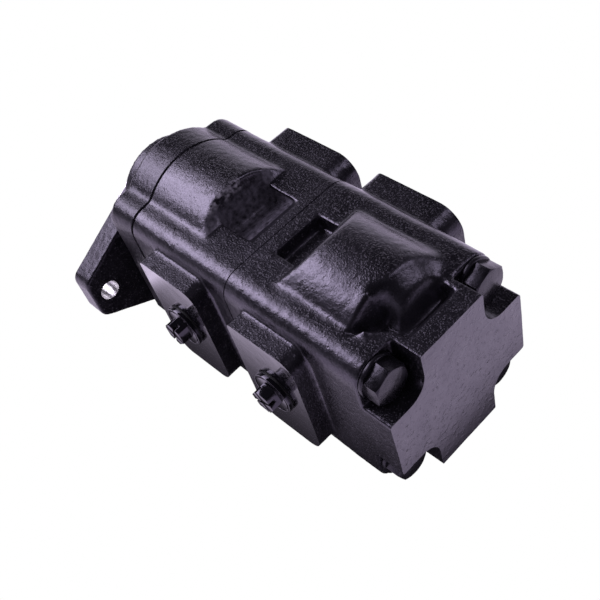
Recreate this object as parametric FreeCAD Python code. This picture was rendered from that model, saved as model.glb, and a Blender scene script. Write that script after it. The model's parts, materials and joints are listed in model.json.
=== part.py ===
import FreeCAD, Part
import math
import os

# Tandem gear pump with a two-bolt mounting flange.
# Lengths are in millimetres. X runs along the drive shaft towards the rear of the pump, Y across it
# towards the inlet side, and Z up. The origin is on the drive shaft's axis at the mounting face.

# Gears
centre_distance = 40.0
tooth_count = 12
pressure_angle = 28.0
addendum_share = 1.0
dedendum_share = 1.2
backlash = 0.2
front_gear_width = 40.0
rear_gear_width = 30.0
flank_steps = 6

# Fits
running_clearance = 0.04
tip_clearance = 0.06
end_play = 0.05
seal_lip_clearance = 0.03

# Shafts
shaft_end_r = 11.11
shaft_end_reach = 41.3
shaft_end_chamfer = 1.5
seal_seat_r = 12.5
seal_seat_reach = 8.5
journal_r = 13.5
journal_chamfer = 0.8
key_width = 6.35
key_length = 25.4
key_setback = 12.0
key_seat_depth = 3.5
spline_stub_r = 9.0
spline_stub_length = 13.5
spline_count = 14
spline_depth = 1.2
spline_side_clearance = 0.15
shaft_gap = 1.0
sleeve_r = 12.8
sleeve_length = 22.0

# Bushes, wear plates and bush blocks
bush_length = 20.0
bush_wall = 2.0
wear_plate_thickness = 4.0
coupling_room = 10.0
blind_bore_room = 2.0
balance_groove_depth = 1.6
balance_band_width = 2.4
backup_width = 0.8
balance_opening = 2.0

# Castings, along the shaft
flange_thickness = 16.0
pilot_r = 50.8
pilot_height = 6.4
cover_depth = 57.0
bearing_wall = 41.9
end_wall = 45.4

# Castings, across the shaft. The body's middle is half way between the shaft and the upper dome's axis.
# The tie bolts run down the middles of the upper columns' rounded corners, and as far out below.
body_centre_z = 22.2
body_width = 107.4
upper_column_r = 14.2
lower_column_r = 10.0
dome_r = 46.0
dome_foot_fillet = 6.0

# Mounting flange
flange_hub_r = 55.0
flange_bolt_pitch = 146.0
flange_bolt_hole_r = 7.15
ear_margin = 13.5
ear_half_height = 20.0
ear_corner_r = 9.0

# Front cover ahead of the body's full section: a nose about the dome's axis, and a neck about the shaft
full_section_length = 23.0
nose_r = 34.8
neck_r = 45.0

# Pockets and dome ends, measured along the shaft from the joint in front of them
pocket_half_width = 19.0
dome_end_draft = 2.0
front_dome_edge = 50.0
front_dome_fillet = 8.0
front_pocket_floor_start = 54.0
front_pocket_floor_end = 59.0
front_pocket_end = 83.0
front_pocket_depth = 13.0
slot_half_width = 18.0
slot_start = 10.5
slot_end = 28.0
slot_wall_draft = 1.5
slot_depth = 9.0
lower_slot_depth = 4.0
rear_dome_foot = 28.0
rear_dome_rise_end = 40.0
rear_dome_edge = 85.5
rear_dome_fillet = 14.0
rear_pocket_start = 91.0
rear_pocket_start_height = 4.5
rear_pocket_floor_start = 103.0
rear_pocket_floor_end = 106.0
rear_pocket_end = 113.0
rear_pocket_depth = 10.0

# Corner pockets for the tie bolt heads
corner_pocket_size = 29.2
corner_pocket_r = 14.0
corner_pocket_depth = 20.2

# Port pads: pressure side towards -Y, inlet side towards +Y
pressure_pad_rise = 12.3
pressure_pad_width = 53.0
pressure_pad_height = 86.0
pressure_pad_front_r = 3.0
pressure_pad_rear_r = 11.0
inlet_pad_rise = 17.6
inlet_pad_width = 67.0
inlet_pad_height = 86.0
inlet_pad_front_r = 6.0
inlet_pad_rear_r = 16.0
front_pressure_offset = 25.5
rear_pressure_offset = -2.5
front_inlet_offset = 21.5
rear_inlet_offset = -6.0
pressure_port_r = 13.2
pressure_passage_r = 8.5
inlet_port_r = 20.0
inlet_passage_r = 11.5
port_thread_depth = 17.0

# Port plugs
plug_flange_overhang = 3.3
plug_flange_thickness = 2.6
plug_ring_inset = 1.6
plug_ring_width = 1.0
plug_ring_depth = 0.8
plug_gasket_thickness = 0.8
plug_gasket_inset = 0.7
plug_hex_half_flat = 8.5
plug_hex_height = 7.4
plug_slot_width = 2.0
plug_slot_depth = 4.5
plug_thread_length = 12.0
plug_wall = 2.5
front_pressure_plug_turn = 20.0
rear_pressure_plug_turn = 55.0
front_inlet_plug_turn = 10.0
rear_inlet_plug_turn = 40.0

# Joint seals and dowels
joint_seal_r = 27.0
joint_seal_width = 2.6
joint_seal_depth = 2.0
dowel_r = 4.0
dowel_length = 16.0
dowel_offset = 44.0

# Tie bolts
tie_bolt_r = 7.0
tie_bolt_clearance = 0.5
tie_bolt_engagement = 18.0
tie_bolt_head_half_flat = 11.0
tie_bolt_head_height = 9.5
tie_bolt_head_chamfer = 1.6
head_chamfer_angle = 30.0
hexagon_sides = 6
washer_r = 13.4
washer_thickness = 2.8
tapped_hole_runout = 1.5

# Shaft seal and retaining ring
seal_bore_r = 22.5
shaft_bore_r = 15.0
seal_width = 8.0
seal_case_wall = 1.0
seal_body_r = 18.5
seal_lip_height = 2.4
garter_r = 0.8
ring_inset = 1.2
ring_thickness = 1.5
ring_groove_depth = 1.2
ring_width = 2.6
ring_gap_half = 3.0
ring_lug_r = 2.6
ring_lug_hole_r = 1.0
ring_lug_offset = 5.0

# Stations along the shaft
joint_1 = cover_depth
front_gear_start = joint_1 + wear_plate_thickness + end_play
front_gear_end = front_gear_start + front_gear_width
front_chamber_end = front_gear_end + wear_plate_thickness + end_play
joint_2 = front_chamber_end + bearing_wall
cover_bush_start = joint_1 - bush_length
centre_block_length = coupling_room + bush_length
rear_gear_start = joint_2 + centre_block_length + end_play
rear_gear_end = rear_gear_start + rear_gear_width
rear_chamber_end = rear_gear_end + bush_length + end_play
rear_face = rear_chamber_end + end_wall
pocket_floor = rear_face - corner_pocket_depth
seal_start = ring_inset + ring_thickness - pilot_height
seal_end = seal_start + seal_width
front_gear_x = (front_gear_start + front_gear_end) / 2
rear_gear_x = (rear_gear_start + rear_gear_end) / 2
front_pressure_x = front_gear_x + front_pressure_offset
rear_pressure_x = rear_gear_x + rear_pressure_offset
front_inlet_x = front_gear_x + front_inlet_offset
rear_inlet_x = rear_gear_x + rear_inlet_offset

# Sizes that follow from the gears
gear_module = centre_distance / tooth_count
pitch_r = centre_distance / 2
tip_r = pitch_r + addendum_share * gear_module
root_r = pitch_r - dedendum_share * gear_module
chamber_r = tip_r + tip_clearance
plate_r = chamber_r - running_clearance
bush_outer_r = journal_r + running_clearance + bush_wall
balance_band_r = pitch_r + balance_band_width / 2

# Sizes that follow from the castings
half_size = body_width / 2
bolt_offset = half_size - upper_column_r
flat_top = body_centre_z + half_size
dome_axis_z = 2 * body_centre_z
dome_top = dome_axis_z + dome_r
beyond = dome_r + half_size
shaft_stub_end = front_chamber_end + bush_length + spline_stub_length


def vec(x, y, z):
    return FreeCAD.Vector(x, y, z)


def rod(x0, x1, radius, y=0.0, z=0.0):
    return Part.makeCylinder(radius, x1 - x0, vec(x0, y, z), vec(1, 0, 0))


def tube(x0, x1, outer, inner, y=0.0, z=0.0):
    return rod(x0, x1, outer, y, z).cut(rod(x0, x1, inner, y, z))


def block(x0, x1, y0, y1, z0, z1):
    return Part.makeBox(x1 - x0, y1 - y0, z1 - z0, vec(x0, y0, z0))


def joined(shapes):
    first = shapes[0]
    return first.multiFuse(shapes[1:]).removeSplitter()


def both_axes(make):
    """The same feature on the drive axis and on the driven axis."""
    return make(0.0).fuse(make(centre_distance))


def upside_down(shape):
    """Mirror image about the level plane through the middle of the body."""
    return shape.mirror(vec(0, 0, body_centre_z), vec(0, 0, 1))


def both_sides(shape):
    return shape.fuse(upside_down(shape))


def belt_wire(x, circles):
    """Outline of a tight belt round circles (y, z, radius), listed anticlockwise."""
    normals = []
    count = len(circles)
    for i in range(count):
        y0, z0, r0 = circles[i]
        y1, z1, r1 = circles[(i + 1) % count]
        run = math.hypot(y1 - y0, z1 - z0)
        heading = math.atan2(z1 - z0, y1 - y0)
        normals.append(heading - math.acos((r0 - r1) / run))
    edges = []
    for i in range(count):
        y0, z0, r0 = circles[i]
        y1, z1, r1 = circles[(i + 1) % count]
        start = normals[i - 1]
        sweep = (normals[i] - start) % (2 * math.pi)
        points = [
            vec(x, y0 + r0 * math.cos(start + share * sweep), z0 + r0 * math.sin(start + share * sweep))
            for share in (0.0, 0.5, 1.0)
        ]
        edges.append(Part.Arc(*points).toShape())
        end = vec(x, y1 + r1 * math.cos(normals[i]), z1 + r1 * math.sin(normals[i]))
        edges.append(Part.LineSegment(points[2], end).toShape())
    return Part.Wire(edges)


def belt(x0, x1, circles):
    return Part.Face(belt_wire(x0, circles)).extrude(vec(x1 - x0, 0, 0))


def body_corners():
    """Circles of the body's section: a square with larger corners above than below."""
    above = half_size - upper_column_r
    below = half_size - lower_column_r
    return [
        (below, body_centre_z - below, lower_column_r),
        (above, body_centre_z + above, upper_column_r),
        (-above, body_centre_z + above, upper_column_r),
        (-below, body_centre_z - below, lower_column_r),
    ]


def stadium(x0, x1, radius):
    """Belt round the two gear axes."""
    return belt(x0, x1, [(0, 0, radius), (0, centre_distance, radius)])


def twin_bore(x0, x1, radius):
    return both_axes(lambda z: rod(x0, x1, radius, 0, z))


def side_prism(points, half_width):
    """Prism across the pump from (x, z) points of its side view."""
    corners = [vec(x, -half_width, z) for x, z in points]
    return Part.Face(Part.makePolygon(corners + corners[:1])).extrude(vec(0, 2 * half_width, 0))


def bolt_axes():
    return [(sy * bolt_offset, body_centre_z + sz * bolt_offset) for sy in (-1, 1) for sz in (-1, 1)]


def dowel_axes():
    return [(-dowel_offset, body_centre_z), (dowel_offset, body_centre_z)]


def hexagon(half_flat):
    """Corners of a hexagon as (across, up) pairs."""
    corner_r = half_flat / math.cos(math.pi / hexagon_sides)
    angles = [2 * math.pi * k / hexagon_sides for k in range(hexagon_sides)]
    return [(corner_r * math.cos(a), corner_r * math.sin(a)) for a in angles]


def foot_fillet(x0, x1, side):
    """Concave fillet between a dome and the flat land beside it."""
    reach = dome_r + dome_foot_fillet
    centre_z = flat_top + dome_foot_fillet
    centre_y = math.sqrt(reach ** 2 - (centre_z - dome_axis_z) ** 2)
    touch_y = centre_y * dome_r / reach
    touch_z = dome_axis_z + (centre_z - dome_axis_z) * dome_r / reach
    outline = [(0, body_centre_z), (centre_y, body_centre_z), (centre_y, flat_top), (touch_y, touch_z)]
    corners = [vec(x0, side * y, z) for y, z in outline]
    web = Part.Face(Part.makePolygon(corners + corners[:1])).extrude(vec(x1 - x0, 0, 0))
    return web.cut(rod(x0, x1, dome_foot_fillet, side * centre_y, centre_z))


def square_body(x0, x1):
    return belt(x0, x1, body_corners())


def domed_body(x0, x1):
    """Body section with a dome above it and one below it."""
    dome = rod(x0, x1, dome_r, 0, dome_axis_z)
    upper = dome.fuse([foot_fillet(x0, x1, -1), foot_fillet(x0, x1, 1)])
    return square_body(x0, x1).fuse([upper, upside_down(upper)])


def dome_rear_cut(edge, fillet, x1):
    """Space behind a dome: a steep end wall from its crest, then a fillet down to the flat land."""
    above = dome_top + dome_foot_fillet
    foot = edge + dome_end_draft
    centre_x = foot + fillet
    centre_z = flat_top + fillet
    middle = vec(centre_x - fillet * math.sqrt(0.5), 0, centre_z - fillet * math.sqrt(0.5))
    edges = [
        Part.LineSegment(vec(edge, 0, above), vec(foot, 0, centre_z)).toShape(),
        Part.Arc(vec(foot, 0, centre_z), middle, vec(centre_x, 0, flat_top)).toShape(),
        Part.LineSegment(vec(centre_x, 0, flat_top), vec(x1, 0, flat_top)).toShape(),
        Part.LineSegment(vec(x1, 0, flat_top), vec(x1, 0, above)).toShape(),
        Part.LineSegment(vec(x1, 0, above), vec(edge, 0, above)).toShape(),
    ]
    space = Part.Face(Part.Wire(edges)).extrude(vec(0, 2 * beyond, 0))
    space.translate(vec(0, -beyond, 0))
    return both_sides(space)


def pocket(start, half_width, points):
    """Pocket in the top of the body. The points are (distance behind the joint, depth)."""
    above = dome_top + dome_foot_fillet
    outline = [(start + x, flat_top - depth) for x, depth in points]
    outline += [(outline[-1][0], above), (outline[0][0], above)]
    return side_prism(outline, half_width)


def pad(centre_x, width, height, front_r, rear_r, rise, side):
    """Port pad that stands out of the body's side: its upper front corner has a radius of its own."""
    x0, x1 = centre_x - width / 2, centre_x + width / 2
    z0, z1 = body_centre_z - height / 2, body_centre_z + height / 2
    rounds = [
        (x1, z0, -1, 1, rear_r),
        (x1, z1, -1, -1, rear_r),
        (x0, z1, 1, -1, front_r),
        (x0, z0, 1, 1, rear_r),
    ]
    deep = half_size - upper_column_r
    start = deep if side > 0 else -half_size - rise
    length = half_size + rise - deep
    outline = []
    drums = []
    for x, z, inward_x, inward_z, radius in rounds:
        ends = [(x, z + inward_z * radius), (x + inward_x * radius, z)]
        outline += ends if inward_x * inward_z > 0 else ends[::-1]
        centre = vec(x + inward_x * radius, start, z + inward_z * radius)
        drums.append(Part.makeCylinder(radius, length, centre, vec(0, 1, 0)))
    corners = [vec(x, start, z) for x, z in outline]
    plate = Part.Face(Part.makePolygon(corners + corners[:1])).extrude(vec(0, length, 0))
    return joined([plate] + drums)


def pressure_pad(centre_x):
    return pad(centre_x, pressure_pad_width, pressure_pad_height, pressure_pad_front_r, pressure_pad_rear_r,
               pressure_pad_rise, -1)


def inlet_pad(centre_x):
    return pad(centre_x, inlet_pad_width, inlet_pad_height, inlet_pad_front_r, inlet_pad_rear_r,
               inlet_pad_rise, 1)


def port_cut(centre_x, target_x, side, rise, thread_r, passage_r):
    """Threaded port and the passage that leads from it to the gears."""
    mouth = side * (half_size + rise)
    inner = side * (half_size + rise - port_thread_depth)
    z = body_centre_z
    thread = Part.makeCylinder(thread_r, port_thread_depth, vec(centre_x, mouth, z), vec(0, -side, 0))
    run = vec(target_x - centre_x, -inner, 0)
    passage = Part.makeCylinder(passage_r, run.Length, vec(centre_x, inner, z), run)
    bottom = Part.makeSphere(passage_r, vec(centre_x, inner, z))
    return thread.fuse([passage, bottom])


def port_cuts(pressure_x, inlet_x, gear_x):
    return [
        port_cut(pressure_x, gear_x, -1, pressure_pad_rise, pressure_port_r, pressure_passage_r),
        port_cut(inlet_x, gear_x, 1, inlet_pad_rise, inlet_port_r, inlet_passage_r),
    ]


def joint_groove(x):
    """Seal groove in a joint face at x, round both gear bores."""
    outer = stadium(x, x + joint_seal_depth, joint_seal_r + joint_seal_width)
    return outer.cut(stadium(x, x + joint_seal_depth, joint_seal_r))


def bolt_holes(x0, x1):
    radius = tie_bolt_r + tie_bolt_clearance
    return [rod(x0, x1, radius, y, z) for y, z in bolt_axes()]


def dowel_holes(x):
    half = dowel_length / 2
    return [rod(x - half, x + half, dowel_r, y, z) for y, z in dowel_axes()]


def flange_plate():
    tip = flange_bolt_pitch / 2 + ear_margin - ear_corner_r
    rise = ear_half_height - ear_corner_r
    outline = [
        (tip, -rise, ear_corner_r),
        (tip, rise, ear_corner_r),
        (0, 0, flange_hub_r),
        (-tip, rise, ear_corner_r),
        (-tip, -rise, ear_corner_r),
        (0, 0, flange_hub_r),
    ]
    return belt(0, flange_thickness, outline)


def front_cover():
    section_start = joint_1 - full_section_length
    nose = rod(flange_thickness, section_start, nose_r, 0, dome_axis_z)
    neck = rod(flange_thickness, section_start, neck_r)
    pilot = rod(-pilot_height, 0, pilot_r)
    solid = joined([domed_body(section_start, joint_1), nose, neck, flange_plate(), pilot])
    tapped_end = joint_1 - tie_bolt_engagement - tapped_hole_runout
    cuts = [
        rod(-pilot_height, seal_end, seal_bore_r),
        rod(seal_start - ring_thickness, seal_start, seal_bore_r + ring_groove_depth),
        rod(seal_end, cover_bush_start, shaft_bore_r),
        rod(cover_bush_start, joint_1, bush_outer_r),
        rod(cover_bush_start - blind_bore_room, joint_1, bush_outer_r, 0, centre_distance),
    ]
    for side in (-1, 1):
        cuts.append(rod(0, flange_thickness, flange_bolt_hole_r, side * flange_bolt_pitch / 2))
    cuts += [rod(tapped_end, joint_1, tie_bolt_r, y, z) for y, z in bolt_axes()]
    cuts += dowel_holes(joint_1)
    return solid.cut(cuts)


def front_housing():
    domed_end = joint_1 + front_dome_edge + dome_end_draft + front_dome_fillet
    dome = domed_body(joint_1, domed_end)
    dome = dome.cut(dome_rear_cut(joint_1 + front_dome_edge, front_dome_fillet, joint_2))
    body = square_body(joint_1, joint_2)
    solid = joined([body, dome, pressure_pad(front_pressure_x), inlet_pad(front_inlet_x)])
    relief = [
        (front_dome_edge, flat_top - dome_top),
        (front_pocket_floor_start, front_pocket_depth),
        (front_pocket_floor_end, front_pocket_depth),
        (front_pocket_end, 0),
    ]
    cuts = [
        both_sides(pocket(joint_1, pocket_half_width, relief)),
        twin_bore(joint_1, front_chamber_end, chamber_r),
        twin_bore(front_chamber_end, front_chamber_end + bush_length, bush_outer_r),
        rod(front_chamber_end + bush_length, joint_2, bush_outer_r),
        joint_groove(joint_1),
    ]
    cuts += port_cuts(front_pressure_x, front_inlet_x, front_gear_x)
    cuts += bolt_holes(joint_1, joint_2) + dowel_holes(joint_1) + dowel_holes(joint_2)
    return solid.cut(cuts)


def corner_pockets():
    """Open pockets at the rear corners, where the tie bolt heads sit."""
    inner = half_size - corner_pocket_size + corner_pocket_r
    outer = half_size + corner_pocket_r
    pockets = []
    for sy in (-1, 1):
        for sz in (-1, 1):
            y0, y1 = sorted((sy * inner, sy * outer))
            z0, z1 = sorted((body_centre_z + sz * inner, body_centre_z + sz * outer))
            circles = [(y1, z0, corner_pocket_r), (y1, z1, corner_pocket_r),
                       (y0, z1, corner_pocket_r), (y0, z0, corner_pocket_r)]
            pockets.append(belt(pocket_floor, rear_face, circles))
    return pockets


def slot(depth):
    """Slot across the flat land, ahead of the rear dome."""
    outline = [
        (slot_start, 0),
        (slot_start + slot_wall_draft, depth),
        (slot_end - slot_wall_draft, depth),
        (slot_end, 0),
    ]
    return pocket(joint_2, slot_half_width, outline)


def dome_front_cut():
    """Space above the rear dome's sloping front."""
    above = dome_top + dome_foot_fillet
    slope = [
        (joint_2, flat_top),
        (joint_2 + rear_dome_foot, flat_top),
        (joint_2 + rear_dome_rise_end, dome_top),
        (joint_2 + rear_dome_rise_end, above),
        (joint_2, above),
    ]
    return both_sides(side_prism(slope, beyond))


def rear_housing():
    domed_end = joint_2 + rear_dome_edge + dome_end_draft + rear_dome_fillet
    dome = domed_body(joint_2 + rear_dome_foot, domed_end)
    dome = dome.cut([
        dome_front_cut(),
        dome_rear_cut(joint_2 + rear_dome_edge, rear_dome_fillet, rear_face),
    ])
    body = square_body(joint_2, rear_face)
    solid = joined([body, dome, pressure_pad(rear_pressure_x), inlet_pad(rear_inlet_x)])
    relief = [
        (rear_pocket_start, -rear_pocket_start_height),
        (rear_pocket_floor_start, rear_pocket_depth),
        (rear_pocket_floor_end, rear_pocket_depth),
        (rear_pocket_end, 0),
    ]
    cuts = [
        slot(slot_depth),
        upside_down(slot(lower_slot_depth)),
        both_sides(pocket(joint_2, pocket_half_width, relief)),
        twin_bore(joint_2, rear_chamber_end, chamber_r),
        joint_groove(joint_2),
    ]
    cuts += port_cuts(rear_pressure_x, rear_inlet_x, rear_gear_x)
    cuts += corner_pockets() + bolt_holes(joint_2, pocket_floor) + dowel_holes(joint_2)
    return solid.cut(cuts)


def involute(angle, base_r):
    """Point of an involute of the base circle after it has unrolled by an angle."""
    return (
        base_r * (math.cos(angle) + angle * math.sin(angle)),
        base_r * (math.sin(angle) - angle * math.cos(angle)),
    )


def tooth_flank(base_r, half_angle, mirror):
    """One flank of a tooth that points along the first axis, as (across, up) points."""
    tip_angle = math.sqrt((tip_r / base_r) ** 2 - 1)
    points = []
    for k in range(flank_steps + 1):
        u, v = involute(tip_angle * k / flank_steps, base_r)
        c, s = math.cos(-half_angle), math.sin(-half_angle)
        points.append((u * c - v * s, mirror * (u * s + v * c)))
    return points


def gear(x0, x1, axis_z, phase):
    """Spur gear with involute teeth. The phase turns it so that a pair is in mesh."""
    base_r = pitch_r * math.cos(math.radians(pressure_angle))
    roll = math.tan(math.radians(pressure_angle))
    pitch_polar = roll - math.radians(pressure_angle)
    half_tooth = math.pi / (2 * tooth_count) - backlash / (2 * pitch_r)
    half_angle = half_tooth + pitch_polar
    edges = []

    def place(point, turn):
        u, v = point
        y = u * math.cos(turn) - v * math.sin(turn)
        z = u * math.sin(turn) + v * math.cos(turn)
        return vec(x0, y, axis_z + z)

    pitch_turn = 2 * math.pi / tooth_count
    for k in range(tooth_count):
        turn = phase + k * pitch_turn
        rising = [place(p, turn) for p in tooth_flank(base_r, half_angle, 1)]
        falling = [place(p, turn) for p in reversed(tooth_flank(base_r, half_angle, -1))]
        root_start = place((root_r * math.cos(half_angle), -root_r * math.sin(half_angle)), turn)
        root_end = place((root_r * math.cos(half_angle), root_r * math.sin(half_angle)), turn)
        gap_turn = turn + pitch_turn / 2
        next_root = place((root_r * math.cos(half_angle), -root_r * math.sin(half_angle)), turn + pitch_turn)
        up = Part.BSplineCurve()
        up.interpolate(rising)
        down = Part.BSplineCurve()
        down.interpolate(falling)
        edges.append(Part.LineSegment(root_start, rising[0]).toShape())
        edges.append(up.toShape())
        edges.append(Part.Arc(rising[-1], place((tip_r, 0), turn), falling[0]).toShape())
        edges.append(down.toShape())
        edges.append(Part.LineSegment(falling[-1], root_end).toShape())
        edges.append(Part.Arc(root_end, place((root_r, 0), gap_turn), next_root).toShape())
    return Part.Face(Part.Wire(edges)).extrude(vec(x1 - x0, 0, 0))


def chamfered_rod(x0, x1, radius, chamfer, axis_z=0.0, rear_end=True):
    """Shaft stretch with a chamfer on one end."""
    length = x1 - x0 - chamfer
    if rear_end:
        body = rod(x0, x1 - chamfer, radius, 0, axis_z)
        cone = Part.makeCone(radius, radius - chamfer, chamfer, vec(x1 - chamfer, 0, axis_z), vec(1, 0, 0))
    else:
        body = rod(x1 - length, x1, radius, 0, axis_z)
        cone = Part.makeCone(radius - chamfer, radius, chamfer, vec(x0, 0, axis_z), vec(1, 0, 0))
    return body.fuse(cone)


def spline_teeth(x0, x1, inner, outer, extra):
    """Straight-sided spline teeth between two radii, each side wider by the extra amount."""
    half = math.pi * inner / (2 * spline_count) - spline_side_clearance / 2 + extra
    teeth = []
    for k in range(spline_count):
        tooth = block(x0, x1, -half, half, inner - spline_depth, outer)
        tooth.rotate(vec(0, 0, 0), vec(1, 0, 0), 360.0 * k / spline_count)
        teeth.append(tooth)
    return teeth


def splined_stub(x0, x1):
    core = rod(x0, x1, spline_stub_r - spline_depth)
    teeth = spline_teeth(x0, x1, spline_stub_r - spline_depth, spline_stub_r, 0.0)
    return core.fuse(teeth).common(rod(x0, x1, spline_stub_r))


drive_phase = math.pi / 2
driven_phase = -math.pi / 2 + math.pi / tooth_count


def drive_shaft():
    """Input shaft with its own gear, and a splined stub for the rear section's coupling."""
    journal_end = front_chamber_end + bush_length
    parts = [
        chamfered_rod(-shaft_end_reach, -seal_seat_reach, shaft_end_r, shaft_end_chamfer, 0.0, False),
        rod(-seal_seat_reach, cover_bush_start, seal_seat_r),
        rod(cover_bush_start, front_gear_start, journal_r),
        gear(front_gear_start, front_gear_end, 0.0, drive_phase),
        chamfered_rod(front_gear_end, journal_end, journal_r, journal_chamfer),
        splined_stub(journal_end, shaft_stub_end),
    ]
    key_end = -key_setback
    seat = block(key_end - key_length, key_end, -key_width / 2, key_width / 2,
                 shaft_end_r - key_seat_depth, shaft_end_r)
    return joined(parts).cut(seat)


def shaft_key():
    key_end = -key_setback
    bottom = shaft_end_r - key_seat_depth
    return block(key_end - key_length, key_end, -key_width / 2, key_width / 2, bottom, bottom + key_width)


def rear_drive_gear():
    stub_start = shaft_stub_end + shaft_gap
    journal_start = joint_2 + coupling_room
    parts = [
        splined_stub(stub_start, journal_start),
        chamfered_rod(journal_start, rear_gear_start, journal_r, journal_chamfer, 0.0, False),
        gear(rear_gear_start, rear_gear_end, 0.0, drive_phase),
        chamfered_rod(rear_gear_end, rear_gear_end + bush_length, journal_r, journal_chamfer),
    ]
    return joined(parts)


def driven_gear(start, end, front_length, rear_length):
    z = centre_distance
    parts = [
        chamfered_rod(start - front_length, start, journal_r, journal_chamfer, z, False),
        gear(start, end, z, driven_phase),
        chamfered_rod(end, end + rear_length, journal_r, journal_chamfer, z),
    ]
    return joined(parts)


def front_driven_gear():
    reach = bush_length + wear_plate_thickness
    return driven_gear(front_gear_start, front_gear_end, reach, reach)


def rear_driven_gear():
    return driven_gear(rear_gear_start, rear_gear_end, bush_length, bush_length)


def coupling_sleeve():
    middle = shaft_stub_end + shaft_gap / 2
    start = middle - sleeve_length / 2
    end = middle + sleeve_length / 2
    bore = rod(start, end, spline_stub_r - spline_depth + running_clearance)
    inner = spline_stub_r - spline_depth
    grooves = spline_teeth(start, end, inner, spline_stub_r + running_clearance, spline_side_clearance)
    return rod(start, end, sleeve_r).cut(bore).cut(grooves)


def bush_pair(x0, x1):
    outer, inner = bush_outer_r, journal_r + running_clearance
    return Part.Compound([tube(x0, x1, outer, inner, 0, z) for z in (0.0, centre_distance)])


def balance_band(x0, x1, inner, outer):
    """Open figure-of-three band on the pressure side of a plate."""
    rings = twin_bore(x0, x1, outer).cut(twin_bore(x0, x1, inner))
    return rings.common(block(x0, x1, -beyond, balance_opening, -beyond, beyond + centre_distance))


def balance_groove(x0, x1):
    return balance_band(x0, x1, balance_band_r - balance_band_width, balance_band_r)


def balance_seal(x0, x1):
    outer = balance_band_r - backup_width
    return balance_band(x0, x1, balance_band_r - balance_band_width, outer).cut(backup_ring(x0, x1))


def backup_ring(x0, x1):
    return balance_band(x0, x1, balance_band_r - backup_width, balance_band_r)


def wear_plate(x0, x1, groove_x0, groove_x1):
    """Plate between a gear pair and a casting, with journal holes and a seal groove."""
    bore = journal_r + running_clearance
    plate = twin_bore(x0, x1, plate_r).removeSplitter().cut(twin_bore(x0, x1, bore))
    return plate.cut(balance_groove(groove_x0, groove_x1))


def bush_block(x0, x1, groove_x0, groove_x1):
    """Block that carries the bushes of one end of a gear pair."""
    body = twin_bore(x0, x1, plate_r).removeSplitter().cut(twin_bore(x0, x1, bush_outer_r))
    return body.cut(balance_groove(groove_x0, groove_x1))


def joint_seal(x):
    return joint_groove(x)


def revolved(points):
    """Ring about the shaft from (x, radius) points of its section."""
    corners = [vec(x, 0, r) for x, r in points]
    face = Part.Face(Part.makePolygon(corners + corners[:1]))
    return face.revolve(vec(0, 0, 0), vec(1, 0, 0), 360)


def seal_case():
    """Steel shell of the shaft seal, an angle section open to the inside of the pump."""
    x0, x1 = seal_start, seal_end
    inner = seal_bore_r - seal_case_wall
    return revolved([
        (x0, seal_body_r), (x0, seal_bore_r), (x1, seal_bore_r),
        (x1, inner), (x0 + seal_case_wall, inner), (x0 + seal_case_wall, seal_body_r),
    ])


def lip_radius():
    return seal_seat_r + seal_lip_clearance


def seal_lip():
    """Rubber body and lip of the shaft seal, with a groove for its spring."""
    x0 = seal_start
    x1 = seal_end
    web = x0 + 2 * seal_case_wall
    nose_x = x0 + seal_width / 2
    tail_x = x1 - seal_case_wall
    outer = lip_radius() + seal_lip_height
    body = revolved([
        (x0 + seal_case_wall, seal_body_r), (x0 + seal_case_wall, seal_bore_r - seal_case_wall),
        (web + seal_case_wall, seal_bore_r - seal_case_wall), (web + seal_case_wall, outer),
        (tail_x, outer), (tail_x, lip_radius() + seal_lip_height / 2), (nose_x, lip_radius()),
        (web, lip_radius() + seal_lip_height / 2), (x0, lip_radius() + seal_lip_height / 2),
        (x0, seal_body_r),
    ])
    return body.cut(garter_spring())


def garter_spring():
    centre_x = seal_end - seal_case_wall - 2 * garter_r
    return Part.makeTorus(lip_radius() + seal_lip_height, garter_r, vec(centre_x, 0, 0), vec(1, 0, 0))


def retaining_ring():
    """Internal circlip, open at the top, with an eye on each side of the opening."""
    x0, x1 = seal_start - ring_thickness, seal_start
    outer = seal_bore_r + ring_groove_depth
    ring = tube(x0, x1, outer, outer - ring_width)
    gap = block(x0, x1, -ring_gap_half, ring_gap_half, 0, outer)
    lug_z = outer - ring_width - ring_lug_hole_r
    lugs = [rod(x0, x1, ring_lug_r, side * ring_lug_offset, lug_z) for side in (-1, 1)]
    eyes = [rod(x0, x1, ring_lug_hole_r, side * ring_lug_offset, lug_z) for side in (-1, 1)]
    return joined([ring.cut(gap)] + lugs).cut(eyes)


def tie_bolt(y, z):
    """Hexagon bolt from a corner pocket forward into the front cover."""
    seat = pocket_floor + washer_thickness
    head_end = seat + tie_bolt_head_height
    corner_r = tie_bolt_head_half_flat / math.cos(math.pi / hexagon_sides)
    corners = [vec(seat, y + a, z + b) for a, b in hexagon(tie_bolt_head_half_flat)]
    head = Part.Face(Part.makePolygon(corners + corners[:1])).extrude(vec(tie_bolt_head_height, 0, 0))
    slope = tie_bolt_head_height / math.tan(math.radians(head_chamfer_angle))
    top_r = corner_r - tie_bolt_head_chamfer
    crown = Part.makeCone(top_r + slope, top_r, tie_bolt_head_height,
                          vec(seat, y, z), vec(1, 0, 0))
    shank = rod(joint_1 - tie_bolt_engagement, head_end - tie_bolt_head_height, tie_bolt_r, y, z)
    return head.common(crown).fuse(shank).removeSplitter()


def washer(y, z):
    return tube(pocket_floor, pocket_floor + washer_thickness, washer_r, tie_bolt_r, y, z)


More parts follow.
